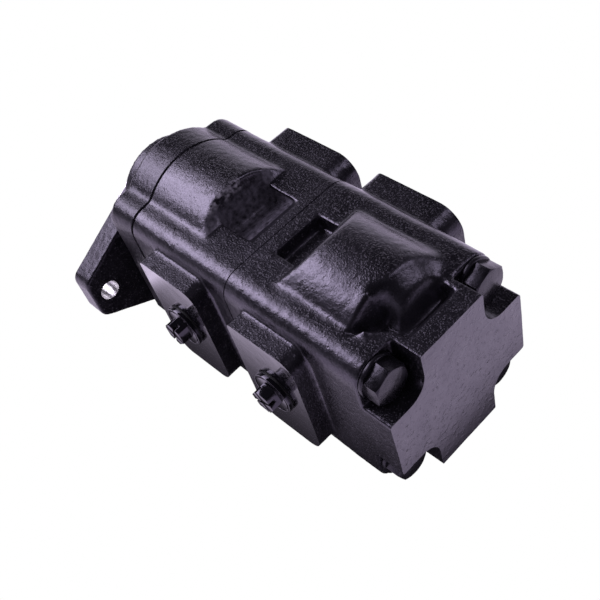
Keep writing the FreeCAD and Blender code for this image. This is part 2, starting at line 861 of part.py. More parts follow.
def port_plug(centre_x, side, rise, thread_r, turn):
    """Plastic screw plug: hollow threaded skirt, round flange and slotted hexagon head."""
    face = half_size + rise
    out = vec(0, side, 0)
    flange_r = thread_r + plug_flange_overhang
    seat = face + plug_gasket_thickness
    top = seat + plug_flange_thickness

    def drum(y0, y1, radius):
        return Part.makeCylinder(radius, y1 - y0, vec(centre_x, side * y0, body_centre_z), out)

    corners = [vec(centre_x + a, side * top, body_centre_z + b) for a, b in hexagon(plug_hex_half_flat)]
    head = Part.Face(Part.makePolygon(corners + corners[:1])).extrude(out * plug_hex_height)
    stem = joined([drum(face - plug_thread_length, seat, thread_r), drum(seat, top, flange_r)])
    hollow = drum(face - plug_thread_length, seat, thread_r - plug_wall)
    ring_r = flange_r - plug_ring_inset
    ring_bottom = top - plug_ring_depth
    ring = drum(ring_bottom, top, ring_r).cut(drum(ring_bottom, top, ring_r - plug_ring_width))
    cross = plug_hex_half_flat * 2
    slot_bottom = top + plug_hex_height - plug_slot_depth
    y0, y1 = sorted((side * slot_bottom, side * (top + plug_hex_height)))
    half = plug_slot_width / 2
    slots = [
        block(centre_x - half, centre_x + half, y0, y1, body_centre_z - cross, body_centre_z + cross),
        block(centre_x - cross, centre_x + cross, y0, y1, body_centre_z - half, body_centre_z + half),
    ]
    head = head.cut(slots)
    head.rotate(vec(centre_x, 0, body_centre_z), vec(0, 1, 0), turn)
    return stem.cut([hollow, ring]).fuse(head)


def plug_gasket(centre_x, side, rise, thread_r):
    outer = thread_r + plug_flange_overhang - plug_gasket_inset
    start = vec(centre_x, side * (half_size + rise), body_centre_z)
    out = vec(0, side, 0)
    disc = Part.makeCylinder(outer, plug_gasket_thickness, start, out)
    return disc.cut(Part.makeCylinder(thread_r, plug_gasket_thickness, start, out))


def ports():
    """Each port: name, centre along the shaft, side, pad rise, thread radius and its plug's turn."""
    pressure = (-1, pressure_pad_rise, pressure_port_r)
    inlet = (1, inlet_pad_rise, inlet_port_r)
    return [
        ("pressure_plug_front", front_pressure_x, *pressure, front_pressure_plug_turn),
        ("pressure_plug_rear", rear_pressure_x, *pressure, rear_pressure_plug_turn),
        ("inlet_plug_front", front_inlet_x, *inlet, front_inlet_plug_turn),
        ("inlet_plug_rear", rear_inlet_x, *inlet, rear_inlet_plug_turn),
    ]


def parts():
    """Every piece of the pump by name."""
    half_dowel = dowel_length / 2
    centre_block_end = joint_2 + centre_block_length
    pieces = {
        "front_cover": front_cover(),
        "front_housing": front_housing(),
        "rear_housing": rear_housing(),
        "drive_shaft": drive_shaft(),
        "shaft_key": shaft_key(),
        "front_driven_gear": front_driven_gear(),
        "rear_drive_gear": rear_drive_gear(),
        "rear_driven_gear": rear_driven_gear(),
        "coupling_sleeve": coupling_sleeve(),
        "cover_bushes": bush_pair(cover_bush_start, joint_1),
        "housing_bushes": bush_pair(front_chamber_end, front_chamber_end + bush_length),
        "centre_bushes": bush_pair(joint_2 + coupling_room, centre_block_end),
        "rear_bushes": bush_pair(rear_chamber_end - bush_length, rear_chamber_end),
        "front_joint_seal": joint_seal(joint_1),
        "rear_joint_seal": joint_seal(joint_2),
        "seal_case": seal_case(),
        "seal_lip": seal_lip(),
        "garter_spring": garter_spring(),
        "retaining_ring": retaining_ring(),
        "tie_bolts": Part.Compound([tie_bolt(y, z) for y, z in bolt_axes()]),
        "tie_bolt_washers": Part.Compound([washer(y, z) for y, z in bolt_axes()]),
    }
    for name, x in (("front_dowels", joint_1), ("rear_dowels", joint_2)):
        pins = [rod(x - half_dowel, x + half_dowel, dowel_r, y, z) for y, z in dowel_axes()]
        pieces[name] = Part.Compound(pins)
    plates = [
        ("front_wear_plate", wear_plate, joint_1, joint_1 + wear_plate_thickness, 0),
        ("inner_wear_plate", wear_plate, front_chamber_end - wear_plate_thickness, front_chamber_end, 1),
        ("centre_bush_block", bush_block, joint_2, centre_block_end, 0),
        ("rear_bush_block", bush_block, rear_chamber_end - bush_length, rear_chamber_end, 1),
    ]
    for name, make, x0, x1, rear in plates:
        groove_x0 = x1 - balance_groove_depth if rear else x0
        groove_x1 = groove_x0 + balance_groove_depth
        pieces[name] = make(x0, x1, groove_x0, groove_x1)
        place = name.split("_")[0]
        pieces["balance_seal_" + place] = balance_seal(groove_x0, groove_x1)
        pieces["backup_ring_" + place] = backup_ring(groove_x0, groove_x1)
    for name, centre_x, side, rise, thread_r, turn in ports():
        pieces[name] = port_plug(centre_x, side, rise, thread_r, turn)
        pieces[name.replace("plug", "gasket")] = plug_gasket(centre_x, side, rise, thread_r)
    return pieces


os.makedirs("parts", exist_ok=True)
for node, shape in parts().items():
    shape.exportStep("parts/" + node + ".step")
    print(node, len(shape.Solids), round(shape.Volume), shape.isValid())
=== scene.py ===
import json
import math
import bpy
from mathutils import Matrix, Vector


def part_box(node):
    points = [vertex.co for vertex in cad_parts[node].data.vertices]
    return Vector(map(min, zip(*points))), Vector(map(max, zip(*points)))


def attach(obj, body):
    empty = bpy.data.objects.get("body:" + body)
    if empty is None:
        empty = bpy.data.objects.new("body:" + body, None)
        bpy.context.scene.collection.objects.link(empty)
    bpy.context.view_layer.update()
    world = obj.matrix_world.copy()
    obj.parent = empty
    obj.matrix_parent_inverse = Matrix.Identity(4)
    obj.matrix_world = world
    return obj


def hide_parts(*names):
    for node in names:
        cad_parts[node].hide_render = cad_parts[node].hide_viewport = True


bl_info = {
    "name": "Tandem gear pump",
    "version": (1, 0, 0),
    "blender": (4, 5, 0),
    "location": "3D View > Sidebar > Pump",
    "description": "Finishes the pump's castings, fasteners, plugs and inner pieces, and sets the studio",
    "category": "Mesh",
}

import bmesh
import bpy
import numpy as np
from mathutils import Matrix, Vector, noise

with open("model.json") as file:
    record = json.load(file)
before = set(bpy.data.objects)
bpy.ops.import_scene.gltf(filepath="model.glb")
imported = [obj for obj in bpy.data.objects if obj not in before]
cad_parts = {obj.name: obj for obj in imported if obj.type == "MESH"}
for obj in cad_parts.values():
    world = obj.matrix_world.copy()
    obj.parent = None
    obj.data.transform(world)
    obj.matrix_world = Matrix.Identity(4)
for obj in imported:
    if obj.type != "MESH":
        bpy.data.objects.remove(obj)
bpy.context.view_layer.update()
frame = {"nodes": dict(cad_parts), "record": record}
record = frame["record"]

MM_PER_METRE = 1000

# Distances in metres within which two points are one, and within which a point lies on a plane
MERGE_DISTANCE = 2e-6
ON_PLANE = 2e-5

X, Y = 0, 1

# Places of the machined finishes among a casting's materials, after its cast skin
SMOOTH, BARE = 1, 2


def low(node):
    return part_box(node)[0]


def high(node):
    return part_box(node)[1]


def mount_size(name, size):
    """A size from a mount of the record, in metres."""
    dims = next(mount["dims"] for mount in record["mounts"] if mount["name"] == name)
    return dims[size] / MM_PER_METRE


# Sizes and places that the frame gives
PILOT_FACE = low("front_cover").x
FIRST_JOINT = low("front_housing").x
SECOND_JOINT = low("rear_housing").x
REAR_FACE = high("rear_housing").x
POCKET_FLOOR = low("tie_bolt_washers").x
FLANGE_BOTTOM = low("front_cover").z
BODY_MIDDLE = (low("rear_housing").z + high("rear_housing").z) / 2
PILOT_RADIUS = mount_size("pilot", "r_mm")
EAR_HOLE_RADIUS = mount_size("flange_bolts", "hole_r_mm")
EAR_HOLE_OFFSET = mount_size("flange_bolts", "spacing_x_mm") / 2
FLANGE_CLEAR = FIRST_JOINT / 2


def metres(name, description, default, **more):
    """A size, which the sidebar shows in the scene's unit of length."""
    return bpy.props.FloatProperty(name=name, description=description, default=default, unit="LENGTH", **more)


def plain(name, description, default, **more):
    """A plain number: a share, a power or a strength."""
    return bpy.props.FloatProperty(name=name, description=description, default=default, **more)


def whole(name, description, default, **more):
    return bpy.props.IntProperty(name=name, description=description, default=default, **more)


def degrees(name, description, default):
    return bpy.props.FloatProperty(name=name, description=description, default=math.radians(default),
                                   subtype="ANGLE")


def rgb(name, description, default, brightest=1.0):
    return bpy.props.FloatVectorProperty(name=name, description=description, default=default, size=3,
                                         subtype="COLOR", min=0.0, max=brightest)


class CastingSettings(bpy.types.PropertyGroup):
    """How the sand castings are finished."""

    voxel: metres("Surface step", "Distance between points of the cast surface",
                  0.0009, min=0.0005, max=0.004)
    edge_passes: whole("Edge rounding", "Smoothing passes that round the cast edges", 4, min=0, max=40)
    fillet_passes: whole("Fillet rounding", "Further smoothing passes in hollow corners", 10, min=0, max=100)
    stock: metres("Machining stock", "Thickness that machining takes off a cast face",
                  0.004, min=0.001, max=0.01)
    swell_height: metres("Swell height", "Height of the long unevenness of the cast walls",
                         0.00035, min=0.0, max=0.002)
    swell_width: metres("Swell width", "Width of the long unevenness of the cast walls",
                        0.028, min=0.005, max=0.1)
    lump_height: metres("Lump height", "Height of the small lumps left by the sand",
                        0.0001, min=0.0, max=0.001)
    lump_width: metres("Lump width", "Width of the small lumps left by the sand",
                       0.0042, min=0.001, max=0.02)
    joint_step: metres("Joint step", "How far the front housing's walls stand in from its neighbours",
                       0.00035, min=0.0, max=0.002)
    dome_radius: metres("Dome radius", "Radius of the domes over the driven shaft", 0.046, min=0.02)
    crest_start: metres("Front dome's rear edge", "Place along the shaft of the front dome's worn rear edge",
                        FIRST_JOINT + 0.050)
    crest_passes: whole("Front dome's edge rounding", "Smoothing passes that round that worn edge",
                        24, min=0, max=300)
    rear_rise: metres("Rear dome's front edge", "Distance of the rear dome's start from the rear joint",
                      0.040)
    rise_passes: whole("Rear dome's front rounding", "Smoothing passes that round the rear dome's start",
                       40, min=0, max=300)
    rear_crest: metres("Rear dome's rear edge", "Distance of the rear dome's end from the rear joint",
                       0.0845)
    melt_passes: whole("Rear dome's end rounding", "Smoothing passes that round the rear dome's end",
                       70, min=0, max=300)
    melt_fade: metres("Rounding fade", "Width over which the rounding of the domes' ends fades out",
                      0.006, min=0.001, max=0.02)
    saddle_length: metres("Rear saddle", "Length of the gentle slope at the far half of the rear dome's end",
                          0.014, min=0.0, max=0.02)
    saddle_flank: metres("Rear saddle's flank", "How far the saddle reaches past the middle",
                         0.009, min=0.0)
    hollow_floor: metres("Rear hollow's floor", "Height of the floor of the hollow behind the rear dome",
                         0.0659)
    hollow_width: metres("Rear hollow's width", "Distance from the middle to that hollow's near end",
                         0.034, min=0.0)


class PaintSettings(bpy.types.PropertyGroup):
    """Colours of the finishes, and the widths of the joint lines in the paint."""

    paint_dark: rgb("Paint, dark", "Darkest tone of the black paint", (0.0032, 0.0029, 0.0040))
    paint_light: rgb("Paint, light", "Lightest tone of the black paint", (0.0075, 0.0068, 0.0090))
    # The worn tone also serves as a painted highlight along the front dome's rear crest.
    worn_paint_and_highlight: rgb("Paint, scuffed", "Tone of the paint where it is scuffed", (0.23, 0.215, 0.25))
    # Lighter tone painted into the front pocket as fill light, where the lamps leave it darker.
    pocket_fill_light: rgb("Dust", "Tone of the dull paint in the front pocket", (0.080, 0.073, 0.092))
    gloss: rgb("Gloss tint", "Tint of what the paint and the plugs reflect", (0.87, 0.80, 1.0))
    plastic: rgb("Plug plastic", "Colour of the port plugs", (0.0035, 0.0034, 0.0045))
    steel: rgb("Steel", "Colour of ground steel", (0.56, 0.56, 0.57))
    iron: rgb("Machined iron", "Colour of bare machined iron", (0.36, 0.35, 0.34))
    bronze: rgb("Bronze", "Colour of the bushes and plates", (0.62, 0.40, 0.19))
    rubber: rgb("Rubber", "Colour of the seals", (0.018, 0.018, 0.019))
    backup: rgb("Backup ring plastic", "Colour of the rings behind the balance seals", (0.78, 0.76, 0.71))
    front_seam: metres("Front joint line", "Half the width of the open joint behind the front cover",
                       0.0009, min=0.0, max=0.003)
    rear_seam: metres("Rear joint line", "Half the width of the open joint ahead of the rear housing",
                      0.00065, min=0.0, max=0.003)


class FittingSettings(bpy.types.PropertyGroup):
    """Edge softness of the bolts and plugs, and the coil of the seal's spring."""

    bolt_edge: metres("Bolt edge", "Rounding of the bolt heads' edges", 0.0007, min=0.0001, max=0.003)
    bolt_turn: degrees("Bolt turn", "Largest random turn of a bolt head", 60)
    plug_edge: metres("Plug edge", "Rounding of the plugs' edges", 0.00022, min=0.00005, max=0.001)
    plug_size: plain("Pressure plugs' size", "Width of the pressure plugs as a share of their solids",
                      0.9, min=0.85, max=1.0)
    rear_plug_turn: degrees("Rear plugs' turn", "Turn of the rear plugs from their solids", 10)
    edge_segments: whole("Edge segments", "Segments of each rounded edge", 2, min=1, max=6)
    spring_turns: whole("Spring turns", "Turns of the seal's garter spring", 120, min=20, max=400)
    spring_steps: whole("Spring steps", "Steps in each turn of the garter spring", 10, min=4, max=40)
    spring_wire: metres("Spring wire radius", "Radius of the garter spring's wire",
                        0.00018, min=0.00005, max=0.001)


class StudioSettings(bpy.types.PropertyGroup):
    """Camera, light and floor."""

    camera_place: bpy.props.FloatVectorProperty(
        name="Camera place", description="Where the camera stands", default=(0.4819, -0.1990, 0.4489),
        size=3, subtype="TRANSLATION", unit="LENGTH")
    camera_azimuth: degrees("Camera azimuth", "Direction of the camera round the pump", 60.1)
    camera_elevation: degrees("Camera elevation", "Height of the camera above the level", 48.4)
    camera_roll: degrees("Camera roll", "Tilt of the picture", -19.5)
    lens: plain("Lens", "Focal length of the camera in millimetres", 55.33, min=10, max=300)
    side_light: plain("Side light", "Power of the large softbox on the left, in watts", 14.0, min=0)
    far_light: plain("Far light", "Power of the small softbox on the far side, in watts", 2.2, min=0)
    room_light: plain("Room light", "Strength of the light from the room", 0.45, min=0)
    light_tint: rgb("Light tint", "Colour of the softboxes and the room", (1.0, 0.93, 1.12), 2.0)
    # In reflections the floor glows, with a painted shadow close to the pump.
    floor_glow: plain("Floor in reflections", "Brightness of the open floor in the pump's reflections",
                       1.3, min=0)
    floor_tint: rgb("Floor tint", "Colour of the floor in the pump's reflections", (1.06, 0.92, 1.22), 2.0)
    shadow_width: metres("Shadow's width", "Distance from the pump where the floor is fully lit",
                         0.055, min=0.001)
    shadow_shape: plain("Shadow's shape", "How much narrower the shadow is behind the pump than beside it",
                         1.9, min=0.1)


# Meshes

def merged_copy(node):
    """Copy of a CAD node's mesh with its triangles joined along their edges."""
    shape = bmesh.new()
    shape.from_mesh(frame["nodes"][node].data)
    bmesh.ops.remove_doubles(shape, verts=shape.verts, dist=MERGE_DISTANCE)
    return shape


def on_plane(verts, plane):
    axis, place, _ = plane
    return all(abs(v.co[axis] - place) < ON_PLANE for v in verts)


def delete_faces(shape, test):
    doomed = [f for f in shape.faces if test(f)]
    bmesh.ops.delete(shape, geom=doomed, context="FACES")


def connected(items, neighbours):
    """Groups of items that hang together."""
    waiting = set(items)
    groups = []
    while waiting:
        group = []
        front = [waiting.pop()]
        while front:
            item = front.pop()
            group.append(item)
            for other in neighbours(item):
                if other in waiting:
                    waiting.remove(other)
                    front.append(other)
        groups.append(group)
    return groups


def span_of(items):
    """Lowest and highest corner of faces or edges."""
    points = np.array([v.co for item in items for v in item.verts])
    return points.min(0), points.max(0)


def islands(shape):
    """Groups of faces that are joined along edges, the largest group first."""
    def reach(group):
        lowest, highest = span_of(group)
        return float(np.linalg.norm(highest - lowest))

    groups = connected(shape.faces, lambda face: (f for e in face.edges for f in e.link_faces))
    return sorted(groups, key=reach, reverse=True)


def split_off(shape, group):
    """New shape that holds only one group of faces."""
    keep = {f.index for f in group}
    part = shape.copy()
    part.faces.ensure_lookup_table()
    delete_faces(part, lambda f: f.index not in keep)
    return part


def open_edges(shape, plane):
    return [e for e in shape.edges if e.is_boundary and on_plane(e.verts, plane)]


def nested(edges, axis):
    """True for two loops of which one lies inside the other, as a ring groove has."""
    loops = connected(edges, lambda edge: (e for v in edge.verts for e in v.link_edges))
    if len(loops) != 2:
        return False
    inner, outer = sorted(map(span_of, loops), key=lambda span: (span[1] - span[0]).sum())
    inside = (inner[0] >= outer[0]) & (inner[1] <= outer[1])
    inside[axis] = True
    return bool(inside.all())


def draw_out(shape, plane, stock):
    """Draws the open edges on a plane outwards by the stock, and closes them there."""
    axis, _, side = plane
    edges = open_edges(shape, plane)
    if not edges:
        return
    made = bmesh.ops.extrude_edge_only(shape, edges=edges)["geom"]
    moved = {g for g in made if isinstance(g, bmesh.types.BMVert)}
    step = Vector((0, 0, 0))
    step[axis] = side * stock
    bmesh.ops.translate(shape, verts=list(moved), vec=step)
    rim = [g for g in made if isinstance(g, bmesh.types.BMEdge) and set(g.verts) <= moved]
    if nested(rim, axis):
        bmesh.ops.bridge_loops(shape, edges=rim)
    else:
        bmesh.ops.holes_fill(shape, edges=rim, sides=0)


def split_large_faces(shape):
    bmesh.ops.triangulate(shape, faces=[f for f in shape.faces if len(f.verts) > 4])


def closed(shape):
    split_large_faces(shape)
    bmesh.ops.recalc_face_normals(shape, faces=shape.faces)
    return shape


def object_of(shape, name):
    """Scene object that takes over a bmesh."""
    mesh = bpy.data.meshes.new(name)
    shape.to_mesh(mesh)
    shape.free()
    made = bpy.data.objects.new(name, mesh)
    bpy.context.scene.collection.objects.link(made)
    return made


def settle(made):
    """Turns the object's modifiers into its mesh."""
    graph = bpy.context.evaluated_depsgraph_get()
    mesh = bpy.data.meshes.new_from_object(made.evaluated_get(graph), depsgraph=graph)
    made.modifiers.clear()
    old = made.data
    made.data = mesh
    bpy.data.meshes.remove(old)
    return made


def cut_away(made, tool):
    """Takes a closed tool shape off an object."""
    modifier = made.modifiers.new("cut", "BOOLEAN")
    modifier.operation = "DIFFERENCE"
    modifier.solver = "MANIFOLD"
    modifier.object = tool
    settle(made)
    bpy.data.objects.remove(tool)


TOOL_REACH = 0.2
DRUM_STEPS = 96
RING_STEPS = 160


def tool_of(shape, name):
    bmesh.ops.recalc_face_normals(shape, faces=shape.faces)
    return object_of(shape, name)


def slab_tool(plane, depth):
    """Box beyond a machined plane, wide enough to clear the pump."""
    axis, place, side = plane
    corner = Vector((-TOOL_REACH, -TOOL_REACH, -TOOL_REACH))
    far_corner = Vector((2 * TOOL_REACH, TOOL_REACH, TOOL_REACH))
    corner[axis], far_corner[axis] = sorted((place, place + side * depth))
    shape = bmesh.new()
    bmesh.ops.create_cube(shape, size=1.0)
    for v in shape.verts:
        v.co = Vector([corner[i] if v.co[i] < 0 else far_corner[i] for i in range(3)])
    return tool_of(shape, "slab_tool")


def drum_tool(start, end, radius, y):
    """Rod along the shaft's direction, level with the shaft."""
    shape = bmesh.new()
    turn = Matrix.Rotation(math.pi / 2, 4, "Y")
    place = Matrix.Translation(((start + end) / 2, y, 0.0)) @ turn
    bmesh.ops.create_cone(shape, cap_ends=True, segments=DRUM_STEPS, radius1=radius, radius2=radius,
                          depth=end - start, matrix=place)
    return tool_of(shape, "drum_tool")


def ring_tool(start, end, inner, outer):
    """Ring about the drive shaft."""
    shape = bmesh.new()
    section = [(start, inner), (end, inner), (end, outer), (start, outer)]
    rows = []
    for k in range(RING_STEPS):
        turn = 2 * math.pi * k / RING_STEPS
        rows.append([shape.verts.new((x, r * math.cos(turn), r * math.sin(turn))) for x, r in section])
    for k in range(RING_STEPS):
        near, far = rows[k], rows[(k + 1) % RING_STEPS]
        for i in range(len(section)):
            j = (i + 1) % len(section)
            shape.faces.new((near[i], near[j], far[j], far[i]))
    return tool_of(shape, "ring_tool")


def points_of(mesh):
    points = np.empty(len(mesh.vertices) * 3)
    mesh.vertices.foreach_get("co", points)
    return points.reshape(-1, 3)


def put_points(mesh, points):
    mesh.vertices.foreach_set("co", points.astype(np.float32).ravel())
    mesh.update()


def normals_of(mesh):
    normals = np.empty(len(mesh.vertices) * 3)
    mesh.vertex_normals.foreach_get("vector", normals)
    return normals.reshape(-1, 3)


def neighbour_mean(points, edges, degree):
    total = np.empty_like(points)
    for axis in range(3):
        column = points[:, axis]
        total[:, axis] = np.bincount(edges[:, 0], column[edges[:, 1]], len(points))
        total[:, axis] += np.bincount(edges[:, 1], column[edges[:, 0]], len(points))
    return total / degree[:, None]


# Share of the way to its neighbours that a point moves in each pass, and the lift that marks a hollow corner
PULL = 0.5
HOLLOW_LIFT = 1.2e-5


def soften_casting(mesh, settings, melted=()):
    """Rounds all edges a little, hollow corners more, and chosen boxes of the casting most."""
    edges = np.empty(len(mesh.edges) * 2, np.int64)
    mesh.edges.foreach_get("vertices", edges)
    edges = edges.reshape(-1, 2)
    points = points_of(mesh)
    degree = np.maximum(np.bincount(edges.ravel(), minlength=len(points)), 1)
    for _ in range(settings.edge_passes):
        points += PULL * (neighbour_mean(points, edges, degree) - points)
    for corner, far_corner, passes in melted:
        outside = np.maximum(corner - points, points - far_corner).max(1)
        share = np.clip(1 - outside / settings.melt_fade, 0, 1)[:, None]
        for _ in range(passes):
            points += PULL * share * (neighbour_mean(points, edges, degree) - points)
    put_points(mesh, points)
    normals = normals_of(mesh)
    for _ in range(settings.fillet_passes):
        pull = neighbour_mean(points, edges, degree) - points
        lift = np.einsum("ij,ij->i", pull, normals)
        hollow = np.clip(lift / HOLLOW_LIFT, 0, 1)[:, None]
        points += PULL * pull * hollow
    put_points(mesh, points)


# Slopes of the rear dome's end, and its reach as shares of the saddle's flank and length
SADDLE_FALL = 0.62
STEEP_FALL = 2.0
HOLLOW_FALL = 3.5
SADDLE_SHARE = 1.4
END_SHARE = 1.7


def shape_rear_dome(mesh, settings):
    """Gives the rear dome's end a gentle slope in its far half and a steep wall in its near half."""
    points = points_of(mesh)
    x, y, z = points.T
    radius = settings.dome_radius
    behind = x - SECOND_JOINT - settings.rear_crest
    ridge = high("rear_housing").z - radius + np.sqrt(np.maximum(radius ** 2 - y ** 2, 0))
    near = np.maximum(-y, 0)
    flank = np.maximum(near - settings.saddle_flank, 0)
    saddle = ridge - SADDLE_FALL * behind - STEEP_FALL * np.maximum(behind - settings.saddle_length, 0)
    bottom = settings.hollow_floor + HOLLOW_FALL * np.maximum(near + behind - settings.hollow_width, 0)
    wall = np.maximum(ridge - HOLLOW_FALL * behind, bottom)
    wall += HOLLOW_FALL * np.maximum(SADDLE_SHARE * settings.saddle_flank - near, 0)
    here = (behind > 0) & (behind < END_SHARE * settings.saddle_length)
    here &= z > settings.hollow_floor - ON_PLANE
    z[here] = np.maximum(z, saddle - STEEP_FALL * flank)[here]
    z[here & (y < 0)] = np.minimum(z, wall)[here & (y < 0)]
    put_points(mesh, points)


# Noise of the cast skin: shift for each casting, and how its small lumps are layered
SEED_STEP = Vector((1.7, 0.9, 2.3))
LUMP_FALL = 0.8
LUMP_SPREAD = 2.1
LUMP_LAYERS = 3


def roughen_casting(mesh, settings, inset, seed):
    """Moves the cast walls inwards by the inset, and in and out by long swells and small lumps."""
    points = points_of(mesh)
    normals = normals_of(mesh)
    shift = seed * SEED_STEP
    moved = np.empty(len(points))
    for i, place in enumerate(points):
        spot = Vector(place)
        swell = noise.noise(spot / settings.swell_width + shift)
        lumps = noise.fractal(spot / settings.lump_width + shift, LUMP_FALL, LUMP_SPREAD, LUMP_LAYERS)
        moved[i] = settings.swell_height * swell + settings.lump_height * lumps
    put_points(mesh, points + normals * (moved - inset)[:, None])


def casting_shells(node, planes, floors):
    """Outer skin of a casting and the walls of its hollows, open at the machined faces."""
    shape = merged_copy(node)
    flat = list(planes) + list(floors)
    delete_faces(shape, lambda f: any(on_plane(f.verts, plane) for plane in flat))
    shape.faces.index_update()
    groups = islands(shape)
    shells = [split_off(shape, group) for group in groups]
    shape.free()
    return shells[0], shells[1:]


def core_tools(cores, planes, stock):
    """Cutting shapes from the walls of the hollows, drawn out past each face that they open in."""
    tools = []
    for core in cores:
        for plane in planes:
            draw_out(core, plane, stock)
        tool = object_of(closed(core), "core_tool")
        for polygon in tool.data.polygons:
            polygon.material_index = BARE
        tools.append(tool)
    return tools


def voxel_body(skin, name, settings, reshape=None, melted=()):
    """Casting's outer skin as an even mesh with soft edges."""
    made = object_of(closed(skin), name)
    modifier = made.modifiers.new("even", "REMESH")
    modifier.mode = "VOXEL"
    modifier.voxel_size = settings.voxel * 1
    settle(made)
    if reshape:
        reshape(made.data, settings)
    soften_casting(made.data, settings, melted)
    return made


def face_values(mesh, name, width):
    values = np.empty(len(mesh.polygons) * width)
    mesh.polygons.foreach_get(name, values)
    return values.reshape(-1, width) if width > 1 else values


# Angles: of edges that stay sharp on castings and fittings, of bevelled edges, and of faces that are one flat
CAST_SHARP = math.radians(38)
FITTING_SHARP = math.radians(40)
BEVELLED = math.radians(28)
FLAT = math.radians(1.5)
ROUND_PROFILE = 0.5


def set_finish(made, chosen, finish):
    """Gives a finish to the faces that a test of their centres chooses."""
    indices = face_values(made.data, "material_index", 1).astype(np.int32)
    indices[chosen(face_values(made.data, "center", 3))] = finish
    made.data.polygons.foreach_set("material_index", indices)


def finish_planes(made, planes, finish):
    for axis, place, _ in planes:
        set_finish(made, lambda centres: np.abs(centres[:, axis] - place) < ON_PLANE, finish)


def smooth_edges(mesh, limit):
    shape = bmesh.new()
    shape.from_mesh(mesh)
    for face in shape.faces:
        face.smooth = True
    for edge in shape.edges:
        edge.smooth = edge.is_manifold and edge.calc_face_angle() < limit
    shape.to_mesh(mesh)
    shape.free()


def slot_of(node):
    return next(part["material_slot"] for part in record["subparts"] if part["node"] == node)


def stand_in(made, node):
    """Shows the object in the place of a fixed CAD node."""
    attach(made, "root")
    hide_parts(node)


def make_casting(node, planes, floors, settings, inset, seed, prepare=None, tools=None, painted=(),
                 reshape=None, melted=()):
    """Casting with a rough cast skin, crisp machined faces and the hollows of its CAD node."""
    skin, cores = casting_shells(node, planes, floors)
    if prepare:
        prepare(skin, settings.stock)
    for plane in planes:
        draw_out(skin, plane, settings.stock)
    bmesh.ops.holes_fill(skin, edges=[e for e in skin.edges if e.is_boundary], sides=0)
    made = voxel_body(skin, "cast_" + node, settings, reshape, melted)
    roughen_casting(made.data, settings, inset, seed)
    for material in (finishes["cast_paint"], finishes["machined_paint"], finishes["bare_iron"]):
        made.data.materials.append(material)
    for plane in planes:
        cut_away(made, slab_tool(plane, 2 * settings.stock))
    for tool in tools(settings.stock) if tools else ():
        cut_away(made, tool)
    for tool in core_tools(cores, planes + floors, 2 * settings.stock):
        cut_away(made, tool)
    bare = [plane for plane in planes if plane not in painted]
    finish_planes(made, painted, SMOOTH)
    finish_planes(made, bare, BARE)
    smooth_edges(made.data, CAST_SHARP)
    stand_in(made, node)
    print(made.name, len(made.data.polygons), "faces")
    return made


# Finishes

finishes = {}


class Nodes:
    """Short ways to add nodes to a tree and wire them."""

    def __init__(self, tree):
        self.nodes, self.links = tree.nodes, tree.links

    def put(self, socket, value):
        if isinstance(value, bpy.types.NodeSocket):
            self.links.new(value, socket)
        else:
            socket.default_value = value

    def add(self, kind, inputs, **settings):
        """Adds a node. Its inputs, by name or number, take values or sockets."""
        made = self.nodes.new(kind)
        for name, value in settings.items():
            setattr(made, name, value)
        for key, value in inputs.items():
            self.put(made.inputs[key], value)
        return made

    def maths(self, operation, *values, **settings):
        return self.add("ShaderNodeMath", dict(enumerate(values)), operation=operation, **settings).outputs[0]

    def vectors(self, operation, *values):
        made = self.add("ShaderNodeVectorMath", dict(enumerate(values)), operation=operation)
        return next(s for s in made.outputs if s.enabled)

    def band(self, value, low_in, high_in, low_out=0.0, high_out=1.0):
        """Maps a stretch of a value to another, and keeps it there."""
        return self.add("ShaderNodeMapRange", {
            "Value": value, "From Min": low_in, "From Max": high_in, "To Min": low_out, "To Max": high_out,
        }).outputs["Result"]


class Finish(Nodes):
    """A material's nodes. Widths and depths are in metres, the other numbers are shares."""

    def __init__(self, name):
        material = bpy.data.materials.new(name)
        material.use_nodes = True
        super().__init__(material.node_tree)
        self.shader = self.nodes["Principled BSDF"]
        self.place = self.nodes.new("ShaderNodeTexCoord").outputs["Object"]
        self.bumps = None
        finishes[name] = material

    def set(self, **values):
        for name, value in values.items():
            self.shader.inputs[name.replace("_", " ")].default_value = value

    def noise(self, width, detail, roughness, place=None):
        return self.add("ShaderNodeTexNoise", {
            "Vector": place or self.place, "Scale": 1 / width, "Detail": detail, "Roughness": roughness,
        }).outputs["Fac"]

    def cells(self, width):
        inputs = {"Vector": self.place, "Scale": 1 / width}
        return self.add("ShaderNodeTexVoronoi", inputs).outputs["Distance"]

    def stretched(self, along, across):
        """Object coordinates scaled so that a pattern runs along the shaft's direction."""
        scale = (along, across, across)
        return self.add("ShaderNodeMapping", {"Vector": self.place, "Scale": scale}).outputs["Vector"]

    def clamped(self, operation, first, second):
        return self.maths(operation, first, second, use_clamp=True)

    def blend(self, share, first, second):
        made = self.add("ShaderNodeMix", {"Factor": share}, data_type="RGBA")
        tones = [s for s in made.inputs if s.type == "RGBA"]
        for socket, value in zip(tones, (first, second)):
            self.put(socket, value if isinstance(value, bpy.types.NodeSocket) else (*value, 1.0))
        return next(s for s in made.outputs if s.type == "RGBA")

    def attribute(self, name):
        node = self.nodes.new("ShaderNodeAttribute")
        node.attribute_name = name
        return node.outputs["Fac"]

    def beside(self, place, width):
        """One on a plane across the shaft's direction, and zero further off than the width."""
        parts = self.add("ShaderNodeSeparateXYZ", {0: self.place})
        return self.maths("COMPARE", parts.outputs["X"], place, width)

    def gloss(self, value):
        self.put(self.shader.inputs["Specular IOR Level"], value)

    def colour(self, value):
        self.put(self.shader.inputs["Base Color"], value)

    def roughness(self, value):
        self.put(self.shader.inputs["Roughness"], value)

    def bump(self, height, depth):
        """Adds unevenness of a given depth to what is there."""
        made = self.add("ShaderNodeBump", {"Strength": 1.0, "Distance": depth, "Height": height})
        if self.bumps:
            self.put(made.inputs["Normal"], self.bumps)
        self.bumps = made.outputs["Normal"]
        self.put(self.shader.inputs["Normal"], self.bumps)


